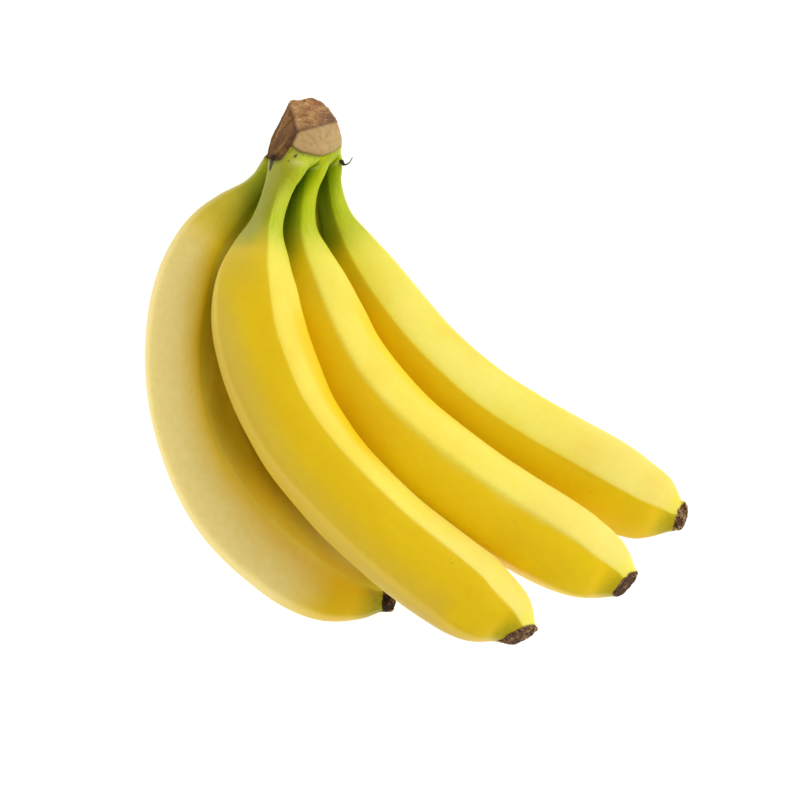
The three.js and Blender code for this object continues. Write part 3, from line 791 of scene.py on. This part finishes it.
def make_crown():
    me = crown_block()
    count = len(me.vertices)
    co = np.empty(count * 3, np.float32)
    me.vertices.foreach_get("co", co)
    P = co.reshape(-1, 3).astype(float) / MM
    ed = np.empty(len(me.edges) * 2, np.int32)
    me.edges.foreach_get("vertices", ed)
    ed = ed.reshape(-1, 2)
    faces = [tuple(f.vertices) for f in me.polygons]
    bpy.data.meshes.remove(me)

    def depth_in(plane, p):
        return (p - plane[1]) @ plane[0]

    wob = value_noise(P, 3.1, 5) * 0.22
    d_tan, d_top = depth_in(TAN_PLANE, P) + wob, depth_in(TOP_PLANE, P) + wob
    d_left, d_back = depth_in(LEFT_PLANE, P) + wob, depth_in(BACK_PLANE, P) + wob
    row = pixel_of(P)[1]
    cut = np.maximum.reduce([smooth(-1.5, -0.7, d) for d in (d_tan, d_top, d_left, d_back)])
    cut = cut * np.where(d_back > -2, 1, 1 - smooth(150, 157, row))
    # the green cushion flows into the collars
    high, who, along, theta, side = on_necks(P)
    collar = smooth(2.0, 5.0, along) * (1 - smooth(0.9, 1.8, np.abs(high)))
    P = blur_on_mesh(ed, count, P, 64) * (1 - cut)[:, None] + blur_on_mesh(ed, count, P, 3) * cut[:, None]
    # down the necks it lies on them, thinner and thinner
    high, who, along, theta, side = on_necks(P)
    wanted = np.interp(along, [c[0] for c in COLLAR], [c[1] for c in COLLAR])
    P = P + (collar * (wanted - high) * (along < 9.3))[:, None] * side
    d_tan, d_top = depth_in(TAN_PLANE, P), depth_in(TOP_PLANE, P)
    d_left, d_back = depth_in(LEFT_PLANE, P), depth_in(BACK_PLANE, P)
    wob = 0.35 * fbm(P, 2.4, 6, 3)
    m_tan = smooth(-1.15, -0.65, d_tan + wob)
    m_top = smooth(-1.15, -0.65, d_top + wob)
    m_left = smooth(-1.2, -0.6, d_left + wob)
    m_back = smooth(-1.6, -0.8, d_back + wob)
    # each point belongs to the plane that it is nearest to
    near = np.stack([d_tan, d_top - 0.05, d_left, d_back - 0.3], 1)
    share = np.exp((near - near.max(1, keepdims=True)) / 0.22)
    share /= share.sum(1, keepdims=True)
    m_tan, m_top, m_left, m_back = (m * share[:, i] for i, m in enumerate((m_tan, m_top, m_left, m_back)))
    u, v, z = pixel_of(P)
    # the cuts end where the skin starts: a lower edge for the fresh cut and for the old one
    ragged = 0.9 * fbm(P, 1.9, 9, 3)
    fresh_foot = np.interp(u, (286, 291, 296, 303, 309, 315, 322, 328, 335, 341), (146, 146, 149.5, 153, 154.5, 155.5, 155.7, 155, 152, 147))
    old_foot = np.interp(u, (262, 267, 272, 276, 280, 285, 290, 294), (157, 158.5, 160, 161, 160, 153, 147, 146))
    below = smooth(-0.8, 0.8, v - fresh_foot + ragged)
    m_tan = m_tan * (1 - below)
    m_left = np.maximum(m_left, smooth(-10.0, -8.0, d_left + wob) * (u < 292) * (v > 140) * smooth(-3.0, 0.0, z.mean() - z) * (1 - m_top) * (1 - m_back))
    m_left = m_left * (1 - smooth(-0.9, 0.9, v - old_foot + 1.6 * ragged))
    step = below * smooth(-2.6, -0.6, d_tan) * (1 - smooth(155, 164, v))
    skin = np.clip(1 - m_tan - m_top - m_left - m_back, 0, 1)
    # dried skin near the cut, green below
    low = smooth(139, 149, v + 3.0 * fbm(P, 4, 7, 3))
    # vertex normals
    tri = np.array([(f[0], f[1], f[2]) for f in faces])
    fn = np.cross(P[tri[:, 1]] - P[tri[:, 0]], P[tri[:, 2]] - P[tri[:, 0]])
    N = np.zeros_like(P)
    for c in range(len(faces[0])):
        idx = np.array([f[c] for f in faces])
        for a in range(3):
            N[:, a] += np.bincount(idx, fn[:, a], minlength=count)
    N = unit(N)
    # relief: fibrous on the old cuts, nearly flat on the fresh one
    down = unit(np.array(CROWN[CROWN_TAG.index("left face, bottom")]) - CROWN[CROWN_TAG.index("top face, left")])
    along_left = P @ down
    combed = P - (along_left * 0.78)[:, None] * down
    relief = np.zeros(count)
    relief += m_top * (0.75 * fbm(P, 5.5, 21, 3) + 0.42 * fbm(P, 1.7, 22, 3))
    relief += m_left * (0.7 * fbm(combed, 3.4, 23, 3) + 0.4 * fbm(combed, 1.2, 24, 3))
    relief += m_back * (0.9 * fbm(P, 5, 25, 3) + 0.5 * fbm(P, 1.5, 26, 3))
    relief += m_tan * (0.28 * fbm(P, 6, 27, 2) + 0.10 * fbm(P, 1.3, 28, 3))
    relief -= 0.55 * step
    relief += skin * (0.16 * fbm(P, 5, 29, 3) + 0.06 * fbm(P, 1.4, 30, 2) + (1 - low) * 0.25 * fbm(P, 1.8, 31, 3))
    pits = smooth(0.42, 0.62, fbm(P, 1.5, 33, 2)) * (m_top + 0.6 * m_left + m_back)
    relief -= 0.35 * pits
    # raised lip where two cuts meet the skin
    lips = np.clip(m_left + m_top + m_back, 0, 1)
    soft_tan = blur_on_mesh(ed, count, m_tan, 9)
    rim_tan = 4 * soft_tan * (1 - soft_tan)
    soft_old = blur_on_mesh(ed, count, lips, 9)
    rim_old = 4 * soft_old * (1 - soft_old)
    relief += 0.18 * rim_old * (1 - m_tan) - 0.08 * rim_tan
    # painted shade: the green skin darkens beside the fresh and left cuts
    shade_beside_cut = smooth(0.02, 0.42, blur_on_mesh(ed, count, np.clip(m_tan + 1.3 * m_left, 0, 1.3), 60)) * skin
    P = P + relief[:, None] * N
    ob = add_mesh("crown_cut", P, faces)
    # colours
    def col(*rgb):
        return np.array(lin(*rgb))[None]

    def mix(a, b, w):
        return a * (1 - w[:, None]) + b * w[:, None]

    n1, n2, n3 = fbm(P, 4.2, 41, 3), fbm(P, 1.6, 42, 3), fbm(P, 0.8, 43, 2)
    c1, c2 = fbm(combed, 3.0, 44, 3), fbm(combed, 1.0, 45, 3)
    top = mix(col(188, 140, 88), col(204, 160, 108), smooth(-0.1, 0.5, n1 + 0.3 * n2))
    top = mix(top, col(150, 104, 70), 0.8 * smooth(0.0, 0.5, -n1 + 0.5 * n2))
    top = mix(top, col(178, 118, 74), 0.7 * np.exp(-((u - 317) / 7) ** 2 - ((v - 104) / 5) ** 2))
    top = mix(top, col(128, 96, 82), 0.8 * smooth(314, 330, u + 5 * n1) * smooth(106, 119, v + 4 * n2))
    top = mix(top, col(138, 94, 64), 0.6 * smooth(-7, -1, v - np.interp(u, (297, 305, 315, 325, 337), (132, 131, 129, 125, 121))))
    top = mix(top, col(112, 74, 52), 0.55 * smooth(0.12, 0.42, n3))
    top = mix(top, col(214, 176, 124), 0.45 * smooth(0.2, 0.5, n2) * smooth(-0.2, 0.3, n1))
    left = mix(col(140, 98, 52), col(164, 124, 76), smooth(-0.1, 0.4, c1))
    left = mix(left, col(100, 66, 38), 0.75 * smooth(0.0, 0.4, -c1 + 0.4 * c2))
    left = mix(left, col(74, 46, 28), 0.55 * smooth(0.15, 0.45, c2))
    # a golden panel, with a dark band beside the front corner's edge
    left = mix(left, col(150, 104, 56), 0.6 * np.exp(-((u - 287) / 4.5) ** 2 - ((v - 126) / 12) ** 2))
    band = np.exp(-((u - np.interp(v, (101, 115, 130, 143), (291, 293, 295.5, 288))) / 2.4) ** 2)
    left = mix(left, col(84, 46, 32), 0.7 * band)
    left = mix(left, col(70, 48, 28), 0.7 * smooth(148, 158, v + 4 * c1))
    fresh = mix(col(188, 156, 106), col(200, 172, 122), smooth(302, 330, u + 8 * n1))
    fresh = mix(fresh, col(196, 148, 112), 0.4 * smooth(-0.1, 0.4, n1))
    fresh = mix(fresh, col(168, 142, 84), 0.5 * smooth(0.0, 0.4, n2) + 0.35 * smooth(146, 154, v))
    back = mix(col(120, 84, 52), col(158, 118, 74), smooth(-0.2, 0.4, n1))
    back = mix(back, col(74, 48, 32), 0.8 * smooth(0.0, 0.4, n2))
    green = mix(col(170, 178, 40), col(184, 190, 60), smooth(-0.3, 0.4, n1))
    dry = mix(col(140, 112, 58), col(98, 68, 40), smooth(-0.2, 0.3, n2))
    bare = mix(dry, green, low)
    c = bare * skin[:, None] + top * m_top[:, None] + left * m_left[:, None] + fresh * m_tan[:, None] + back * m_back[:, None]
    c = mix(c, col(74, 52, 26), 0.75 * rim_tan * smooth(0.15, 0.9, 1 - m_top) * smooth(330, 296, u + 0 * v))
    c = mix(c, col(96, 60, 44), 0.5 * rim_tan)
    c = mix(c, col(46, 28, 20), 0.55 * pits)
    c = mix(c, col(58, 42, 20), 0.75 * rim_old * smooth(140, 150, v) * (1 - m_tan))
    # a thin dry sliver that hangs from the old cut down the first neck
    tear = np.exp(-((u - np.interp(v, (156, 164, 172), (273.3, 271.3, 269.2))) / np.interp(v, (156, 172), (3.2, 0.8))) ** 4) * smooth(153, 156, v) * (1 - smooth(169, 173, v)) * (z < z.mean())
    c = mix(c, col(52, 36, 18), tear)
    put(ob, "tint", np.hstack([np.clip(c, 0, 1), np.ones((count, 1))]), "FLOAT_COLOR")
    put(ob, "green", skin * low)
    put(ob, "cut_shade", shade_beside_cut)
    put(ob, "fresh", m_tan)
    # the green skin is coloured as the fingers' is
    high, who, along, theta, side = on_necks(P)
    whole = {}
    for i, name in enumerate(FORMS):
        sel = who == i
        if sel.any():
            for key, x in skin_values(name, P[sel], along[sel], theta[sel], side[sel], np.full(sel.sum(), -99.0), N[sel]).items():
                whole.setdefault(key, np.zeros((count,) + x.shape[1:]))[sel] = x
    for key, x in whole.items():
        put(ob, key, x, "FLOAT_VECTOR" if x.ndim == 2 else "FLOAT")
    put(ob, "ridge", np.zeros(count))
    # painted highlight: whitish spots on the neck swells where they face the camera
    swell_highlight = 0.5 * np.clip(skin * low, 0, 1) * (1 - smooth(167, 172, v)) * np.clip(sum(np.exp(-((u - x) / 6.5) ** 2 - ((v - y) / 3.6) ** 2) for x, y in ((297, 163), (313, 166), (334, 161))), 0, 1)
    upward = smooth(0.25, 0.7, N @ CAM_BACK)
    put(ob, "swell_highlight", swell_highlight * upward)
    fleck = tear + np.clip(sum(np.exp(-(((u - x) ** 2 + (v - y) ** 2) / r ** 2) ** 2) for x, y, r in ((295.5, 156, 1.6), (297, 154.5, 1.2), (288.5, 161, 0.9))), 0, 1)
    put(ob, "fleck", 0.92 * np.clip(fleck, 0, 1) * smooth(0.05, 0.35, N @ CAM_BACK))
    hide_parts("crown")
    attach(ob, "root")
    return ob


# ------------------------------------------------------------------ dried strand

def tube(name, path, radii, sides=12, rings=64, seed=1, rough=0.06, cap=0.4):
    path = np.array(path, float)
    table = np.hstack([path, np.array(radii, float)[:, None], np.zeros((len(path), 1))])
    u = np.linspace(0, 1, rings)
    val, slo = catmull(table, u)
    t = unit(slo[:, :3])
    side = np.array((0.31, -0.2, 0.93))
    m1 = unit(side - t * (t @ side)[:, None])
    m2 = np.cross(t, m1)
    th = 2 * np.pi * np.arange(sides) / sides
    out = np.cos(th)[None, :, None] * m1[:, None] + np.sin(th)[None, :, None] * m2[:, None]
    P = val[:, None, :3] + val[:, None, 3:4] * out
    n = fbm(P.reshape(-1, 3), 0.7, seed, 3).reshape(rings, sides)
    P = P + (rough * n)[..., None] * out
    verts = P.reshape(-1, 3).tolist()
    faces = []
    for i in range(rings - 1):
        for j in range(sides):
            k = (j + 1) % sides
            faces.append((i * sides + j, i * sides + k, (i + 1) * sides + k, (i + 1) * sides + j))
    verts.append((val[0, :3] - t[0] * cap * val[0, 3]).tolist())
    verts.append((val[-1, :3] + t[-1] * cap * val[-1, 3]).tolist())
    a, b = rings * sides, rings * sides + 1
    for j in range(sides):
        k = (j + 1) % sides
        faces.append((a, k, j))
        faces.append((b, (rings - 1) * sides + j, (rings - 1) * sides + k))
    return verts, faces


def make_fibre():
    fine = np.linspace(0.85, 0.5, len(FIBRE))
    # it starts inside the crown, so that it grows out of it
    line = [(-73.5, 76.1, 17.2)] + [f[:3] for f in FIBRE]
    thick = [0.5] + [f[3] * k for f, k in zip(FIBRE, fine)]
    verts, faces = tube("dried_strand", line, thick, 14, 90, 71, 0.08)
    ob = add_mesh("dried_strand", verts, faces)
    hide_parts("dried_fibre")
    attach(ob, "root")
    return ob


# ------------------------------------------------------------------ materials

class Nodes:
    """Small helper that builds one material's node tree."""

    def __init__(self, name):
        self.mat = bpy.data.materials.new(name)
        self.mat.use_nodes = True
        self.tree = self.mat.node_tree
        self.tree.nodes.clear()
        self.out = self.tree.nodes.new("ShaderNodeOutputMaterial")
        self.bsdf = self.tree.nodes.new("ShaderNodeBsdfPrincipled")
        self.link(self.bsdf.outputs["BSDF"], self.out.inputs["Surface"])

    def link(self, a, b):
        self.tree.links.new(a, b)

    def set(self, socket, value):
        if hasattr(value, "is_output"):
            self.link(value, socket)
        elif isinstance(value, (tuple, list)) and len(value) == 3 and socket.type == "RGBA":
            socket.default_value = (*value, 1)
        else:
            socket.default_value = value

    def attr(self, name, what="Fac"):
        n = self.tree.nodes.new("ShaderNodeAttribute")
        n.attribute_name = name
        return n.outputs[what]

    def math(self, op, a, b=None, c=None, clamp=False):
        n = self.tree.nodes.new("ShaderNodeMath")
        n.operation = op
        n.use_clamp = clamp
        for s, v in zip(n.inputs, (a, b, c)):
            if v is not None:
                self.set(s, v)
        return n.outputs[0]

    def mix(self, a, b, w):
        n = self.tree.nodes.new("ShaderNodeMix")
        n.data_type = "RGBA"
        n.clamp_factor = True
        self.set(n.inputs[0], w)
        self.set(n.inputs[6], a)
        self.set(n.inputs[7], b)
        return n.outputs[2]

    def blend(self, kind, a, b, w):
        out = self.mix(a, b, w)
        out.node.blend_type = kind
        return out

    def ramp(self, x, a, b, c=0.0, d=1.0):
        """x from a to b becomes c to d, smoothly."""
        n = self.tree.nodes.new("ShaderNodeMapRange")
        n.interpolation_type = "SMOOTHSTEP"
        for s, v in zip(n.inputs, (x, a, b, c, d)):
            self.set(s, v)
        return n.outputs[0]

    def scaled(self, vector, by, shift=(0, 0, 0)):
        n = self.tree.nodes.new("ShaderNodeMapping")
        self.set(n.inputs["Vector"], vector)
        n.inputs["Scale"].default_value = by
        n.inputs["Location"].default_value = shift
        return n.outputs[0]

    def noise(self, vector, scale, detail=3.0, rough=0.5, distort=0.0):
        n = self.tree.nodes.new("ShaderNodeTexNoise")
        self.set(n.inputs["Vector"], vector)
        n.inputs["Scale"].default_value = scale
        n.inputs["Detail"].default_value = detail
        n.inputs["Roughness"].default_value = rough
        n.inputs["Distortion"].default_value = distort
        return n.outputs["Fac"]

    def cells(self, vector, scale, feature="F1", what="Distance", random=1.0):
        n = self.tree.nodes.new("ShaderNodeTexVoronoi")
        n.feature = feature
        self.set(n.inputs["Vector"], vector)
        n.inputs["Scale"].default_value = scale
        n.inputs["Randomness"].default_value = random
        return n.outputs[what]

    def place(self):
        """Object coordinates in mm."""
        n = self.tree.nodes.new("ShaderNodeTexCoord")
        return self.scaled(n.outputs["Object"], (1000, 1000, 1000))

    def bump(self, height, strength, distance, normal=None):
        n = self.tree.nodes.new("ShaderNodeBump")
        n.inputs["Strength"].default_value = strength
        n.inputs["Distance"].default_value = distance
        self.link(height, n.inputs["Height"])
        if normal is not None:
            self.link(normal, n.inputs["Normal"])
        return n.outputs[0]


def peel_colour(m, place, grain):
    """The skin's colour, which the crown's green part shares; also its fibres and fine mottle."""
    fibre = m.noise(m.scaled(grain, (1, 1, 0.09)), 0.9, 5, 0.6)
    cloud = m.noise(m.scaled(grain, (1, 1, 0.35)), 0.055, 3, 0.5)
    patch = m.noise(place, 0.032, 2, 0.5)
    mottle = m.noise(place, 0.35, 4, 0.6)
    # ripe yellow with painted light and shade: lemon on the lit side, golden and darker on the side away from the light
    lit_lemon = m.mix(lin(244, 226, 80), lin(247, 232, 104), m.ramp(cloud, 0.35, 0.68))
    shaded_golden = m.mix(lin(238, 198, 5), lin(243, 207, 10), m.ramp(cloud, 0.35, 0.68))
    # painted light: the golden side lighter on the third and fourth fingers, where the second finger shades them
    shaded_golden = m.mix(shaded_golden, lin(255, 217, 8), m.math("MULTIPLY", m.attr("lift"), 0.8))
    c = m.mix(lit_lemon, shaded_golden, m.attr("gold_shade"))
    c = m.mix(c, lin(240, 196, 12), m.ramp(patch, 0.45, 0.7, 0, 0.3))
    # a thin line along the ridges, a little greener, lemon on the lit side and golden on the painted shaded side
    c = m.mix(c, m.mix(lin(242, 222, 56), lin(226, 190, 4), m.attr("gold_shade")), m.math("MULTIPLY", m.attr("ridge"), 0.3))
    # dull areas: a duller tan, partly the skin's own tone and partly a painted grazing sheen
    c = m.mix(c, lin(222, 190, 58), m.attr("tan"))
    # pale areas: partly a waxy bloom, partly a painted sheen
    c = m.mix(c, lin(244, 222, 142), m.math("MULTIPLY", m.attr("bloom_and_sheen"), m.ramp(mottle, 0.3, 0.7, 0.85, 0.95)))
    # lime tinge beside the neck, then the green neck, both darker on the painted shaded side
    c = m.mix(c, m.mix(lin(232, 222, 74), lin(222, 196, 34), m.attr("gold_shade")), m.math("MULTIPLY", m.attr("lime"), 0.85))
    green = m.mix(lin(174, 187, 4), lin(190, 201, 24), m.ramp(fibre, 0.3, 0.7))
    green = m.mix(green, m.mix(lin(150, 156, 12), lin(170, 170, 34), m.ramp(cloud, 0.35, 0.65)), m.attr("gold_shade"))
    c = m.mix(c, green, m.attr("neck"))
    c = m.mix(c, lin(166, 166, 66), m.attr("dull"))
    # painted shade: dark green where another neck lies close
    c = m.mix(c, lin(70, 102, 1), m.attr("gap"))
    # olive towards the blossom end, a pale lime on the lit side and olive on the painted shaded side
    olive = m.mix(lin(226, 228, 88), m.mix(lin(158, 156, 8), lin(126, 134, 4), m.ramp(fibre, 0.35, 0.7)), m.attr("gold_shade"))
    c = m.mix(c, olive, m.math("MULTIPLY", m.attr("tail"), m.ramp(cloud, 0.3, 0.7, 0.7, 0.95)))
    c = m.blend("MULTIPLY", c, m.mix((0.93, 0.92, 0.86), (1.0, 1.0, 1.0), m.ramp(mottle, 0.35, 0.62)), 0.35)
    # painted shade: darker and browner where another finger lies close, along the second finger's far left edge and
    # along the first finger's neck
    c = m.blend("MULTIPLY", c, (0.50, 0.46, 0.12), m.attr("near"))
    return c, fibre, mottle


def peel_material():
    m = Nodes("banana_peel_ripe")
    place, grain = m.place(), m.attr("grain", "Vector")
    c, fibre, mottle = peel_colour(m, place, grain)
    fine = m.noise(m.scaled(grain, (1, 1, 0.05)), 3.2, 4, 0.6)
    c = m.blend("MULTIPLY", c, m.mix((0.92, 0.91, 0.84), (1.0, 1.0, 1.0), m.ramp(fine, 0.36, 0.6)), 0.12)
    # a few tiny brown specks and rubs
    spots = m.cells(place, 0.22)
    chosen = m.ramp(m.noise(place, 0.06, 2, 0.5), 0.58, 0.68)
    speck = m.math("MULTIPLY", m.ramp(spots, 0.07, 0.04), chosen)
    c = m.mix(c, lin(140, 98, 34), m.math("MULTIPLY", speck, 0.6))
    rub = m.math("MULTIPLY", m.ramp(m.noise(m.scaled(grain, (1, 1, 0.4)), 0.55, 4, 0.65), 0.70, 0.75), m.ramp(m.attr("ridge"), 0.1, 0.7, 0.1, 0.8))
    c = m.mix(c, lin(156, 114, 40), m.math("MULTIPLY", rub, 0.5))
    # crust at the blossom end: dark in its hollows, tan on its lumps
    grit = m.noise(place, 1.3, 4, 0.65)
    rise = m.math("ADD", m.attr("lumps"), m.math("MULTIPLY", m.math("SUBTRACT", grit, 0.5), 4.5))
    bark = m.mix(lin(30, 16, 12), lin(104, 70, 42), m.ramp(rise, -0.7, 0.15))
    bark = m.mix(bark, lin(186, 152, 112), m.ramp(rise, 0.35, 0.95, 0, 0.9))
    c = m.mix(c, bark, m.attr("crust"))
    m.link(c, m.bsdf.inputs["Base Color"])
    rough = m.ramp(mottle, 0.3, 0.7, 0.40, 0.47)
    rough = m.math("ADD", rough, m.math("MULTIPLY", m.attr("bloom_and_sheen"), 0.06))
    rough = m.math("ADD", rough, m.math("MULTIPLY", m.attr("crust"), 0.4))
    m.link(rough, m.bsdf.inputs["Roughness"])
    m.link(m.math("MULTIPLY", m.attr("gloss"), 0.28), m.bsdf.inputs["Specular IOR Level"])
    m.bsdf.inputs["Specular Tint"].default_value = (1.0, 0.96, 0.72, 1)
    m.bsdf.inputs["Subsurface Weight"].default_value = 0.08
    m.bsdf.inputs["Subsurface Radius"].default_value = (1.0, 0.55, 0.12)
    m.bsdf.inputs["Subsurface Scale"].default_value = 0.0020
    height = m.math("ADD", m.math("MULTIPLY", fibre, 0.5), m.math("MULTIPLY", fine, 0.3))
    height = m.math("SUBTRACT", height, m.math("MULTIPLY", speck, 0.3))
    coarse = m.bump(m.math("MULTIPLY", grit, m.attr("crust")), 0.8, 0.0005)
    m.link(m.bump(height, 0.05, 0.00025, coarse), m.bsdf.inputs["Normal"])
    return m.mat


def crown_material():
    m = Nodes("crown_tissue")
    place = m.place()
    tint, green, fresh, low = m.attr("tint", "Color"), m.attr("green"), m.attr("fresh"), m.attr("low")
    skin, fibre, mottle = peel_colour(m, place, m.attr("grain", "Vector"))
    fine = m.noise(place, 1.7, 5, 0.7)
    mid = m.noise(place, 0.7, 4, 0.6)
    dots = m.cells(place, 1.0)
    dry = m.math("SUBTRACT", 1.0, m.math("MAXIMUM", green, m.math("MULTIPLY", fresh, 0.8)), clamp=True)
    c = m.blend("MULTIPLY", tint, m.mix((0.45, 0.40, 0.34), (1.22, 1.2, 1.14), m.ramp(fine, 0.36, 0.62)), m.math("MULTIPLY", dry, 0.7))
    c = m.blend("MULTIPLY", c, m.mix((0.86, 0.82, 0.76), (1.05, 1.04, 1.0), m.ramp(mid, 0.35, 0.62)), 0.5)
    c = m.mix(c, lin(222, 196, 150), m.math("MULTIPLY", m.ramp(dots, 0.16, 0.08), m.math("MULTIPLY", dry, 0.35)))
    c = m.mix(c, lin(150, 112, 76), m.math("MULTIPLY", m.ramp(m.cells(place, 0.8), 0.09, 0.05), m.math("MULTIPLY", fresh, 0.35)))
    # the green skin: a painted highlight on its swells, painted shade beside the cuts
    skin = m.mix(skin, lin(206, 210, 120), m.attr("swell_highlight"))
    skin = m.mix(skin, lin(116, 118, 26), m.math("MULTIPLY", m.attr("cut_shade"), m.ramp(mid, 0.3, 0.65, 0.35, 0.8)))
    skin = m.mix(skin, lin(44, 30, 12), m.attr("fleck"))
    c = m.mix(c, skin, green)
    m.link(c, m.bsdf.inputs["Base Color"])
    m.link(m.math("SUBTRACT", m.ramp(fine, 0.3, 0.7, 0.78, 0.9), m.math("MULTIPLY", green, 0.40)), m.bsdf.inputs["Roughness"])
    m.link(m.math("MULTIPLY", m.attr("gloss"), 0.25), m.bsdf.inputs["Specular IOR Level"])
    m.bsdf.inputs["Specular Tint"].default_value = (1.0, 0.97, 0.80, 1)
    height = m.math("ADD", m.math("MULTIPLY", fine, 0.6), m.math("MULTIPLY", mid, 0.6))
    height = m.math("MULTIPLY", height, m.math("ADD", m.math("MULTIPLY", dry, 0.9), 0.05))
    m.link(m.bump(height, 0.6, 0.0005), m.bsdf.inputs["Normal"])
    return m.mat


def strand_material():
    m = Nodes("dry_strand")
    place = m.place()
    n = m.noise(place, 1.2, 4, 0.6)
    m.link(m.mix(lin(30, 20, 14), lin(78, 56, 36), m.ramp(n, 0.35, 0.65)), m.bsdf.inputs["Base Color"])
    m.bsdf.inputs["Roughness"].default_value = 0.8
    m.link(m.bump(n, 0.4, 0.0002), m.bsdf.inputs["Normal"])
    return m.mat


def floor_material():
    m = Nodes("pale_floor")
    m.link(m.mix((0.40, 0.40, 0.40), (0.42, 0.42, 0.42), m.noise(m.place(), 0.004, 2, 0.5)), m.bsdf.inputs["Base Color"])
    m.bsdf.inputs["Roughness"].default_value = 0.9
    m.bsdf.inputs["Specular IOR Level"].default_value = 0.1
    m.bsdf.inputs["Emission Color"].default_value = (1, 1, 1, 1)
    m.bsdf.inputs["Emission Strength"].default_value = 0.79
    return m.mat


# ------------------------------------------------------------------ the pieces

peel = peel_material()
fingers = {name: make_finger(name) for name in FINGERS}
for ob in fingers.values():
    ob.data.materials.append(peel)
crown = make_crown()
crown.data.materials.append(crown_material())
strand = make_fibre()
strand.data.materials.append(strand_material())

# ------------------------------------------------------------------ floor, light and camera

floor_mesh = bpy.data.meshes.new("floor")
floor_mesh.from_pydata([(-6, -6, -0.0002), (6, -6, -0.0002), (6, 6, -0.0002), (-6, 6, -0.0002)], [], [(0, 1, 2, 3)])
floor = bpy.data.objects.new("floor", floor_mesh)
bpy.context.scene.collection.objects.link(floor)
floor.data.materials.append(floor_material())

scene = bpy.context.scene
scene.view_settings.view_transform = "Standard"
scene.view_settings.look = "None"

world = bpy.data.worlds.new("pale_room")
scene.world = world
world.use_nodes = True
world.node_tree.nodes["Background"].inputs["Color"].default_value = (1, 1, 1, 1)
world.node_tree.nodes["Background"].inputs["Strength"].default_value = 0.534


def area(name, direction, distance, size, power, colour=(1, 1, 1), size_y=None):
    """A soft box that faces the bunch, from a direction given as image right, image up and towards the camera."""
    data = bpy.data.lights.new(name, "AREA")
    data.energy = power
    data.color = colour
    data.shape = "RECTANGLE"
    data.size = size
    data.size_y = size_y or size
    ob = bpy.data.objects.new(name, data)
    d = direction[0] * CAM_RIGHT + direction[1] * CAM_UP + direction[2] * CAM_BACK
    d = Vector(d / np.linalg.norm(d))
    ob.location = Vector((0, 0, 0.04)) + d * distance
    ob.rotation_mode = "QUATERNION"
    ob.rotation_quaternion = d.to_track_quat("Z", "Y")
    scene.collection.objects.link(ob)
    return ob


area("upper_right", (0.80, 0.66, 0.48), 1.5, 0.8, 5.6)
area("right", (0.97, 0.15, 0.40), 1.5, 0.8, 7.0)
area("left", (-0.95, 0.05, 0.42), 1.4, 1.1, 4.7)
area("lower_left", (-0.7, -0.7, 0.35), 1.4, 1.1, 3.4)

cam_data = bpy.data.cameras.new("camera")
cam_data.lens = LENS
cam_data.sensor_width = SENSOR
cam_data.clip_start, cam_data.clip_end = 0.05, 50
camera = bpy.data.objects.new("camera", cam_data)
scene.collection.objects.link(camera)
turn = Matrix((CAM_RIGHT, CAM_UP, CAM_BACK)).transposed()
camera.matrix_world = Matrix.Translation(Vector(CAM_AT * MM)) @ turn.to_4x4()
scene.camera = camera
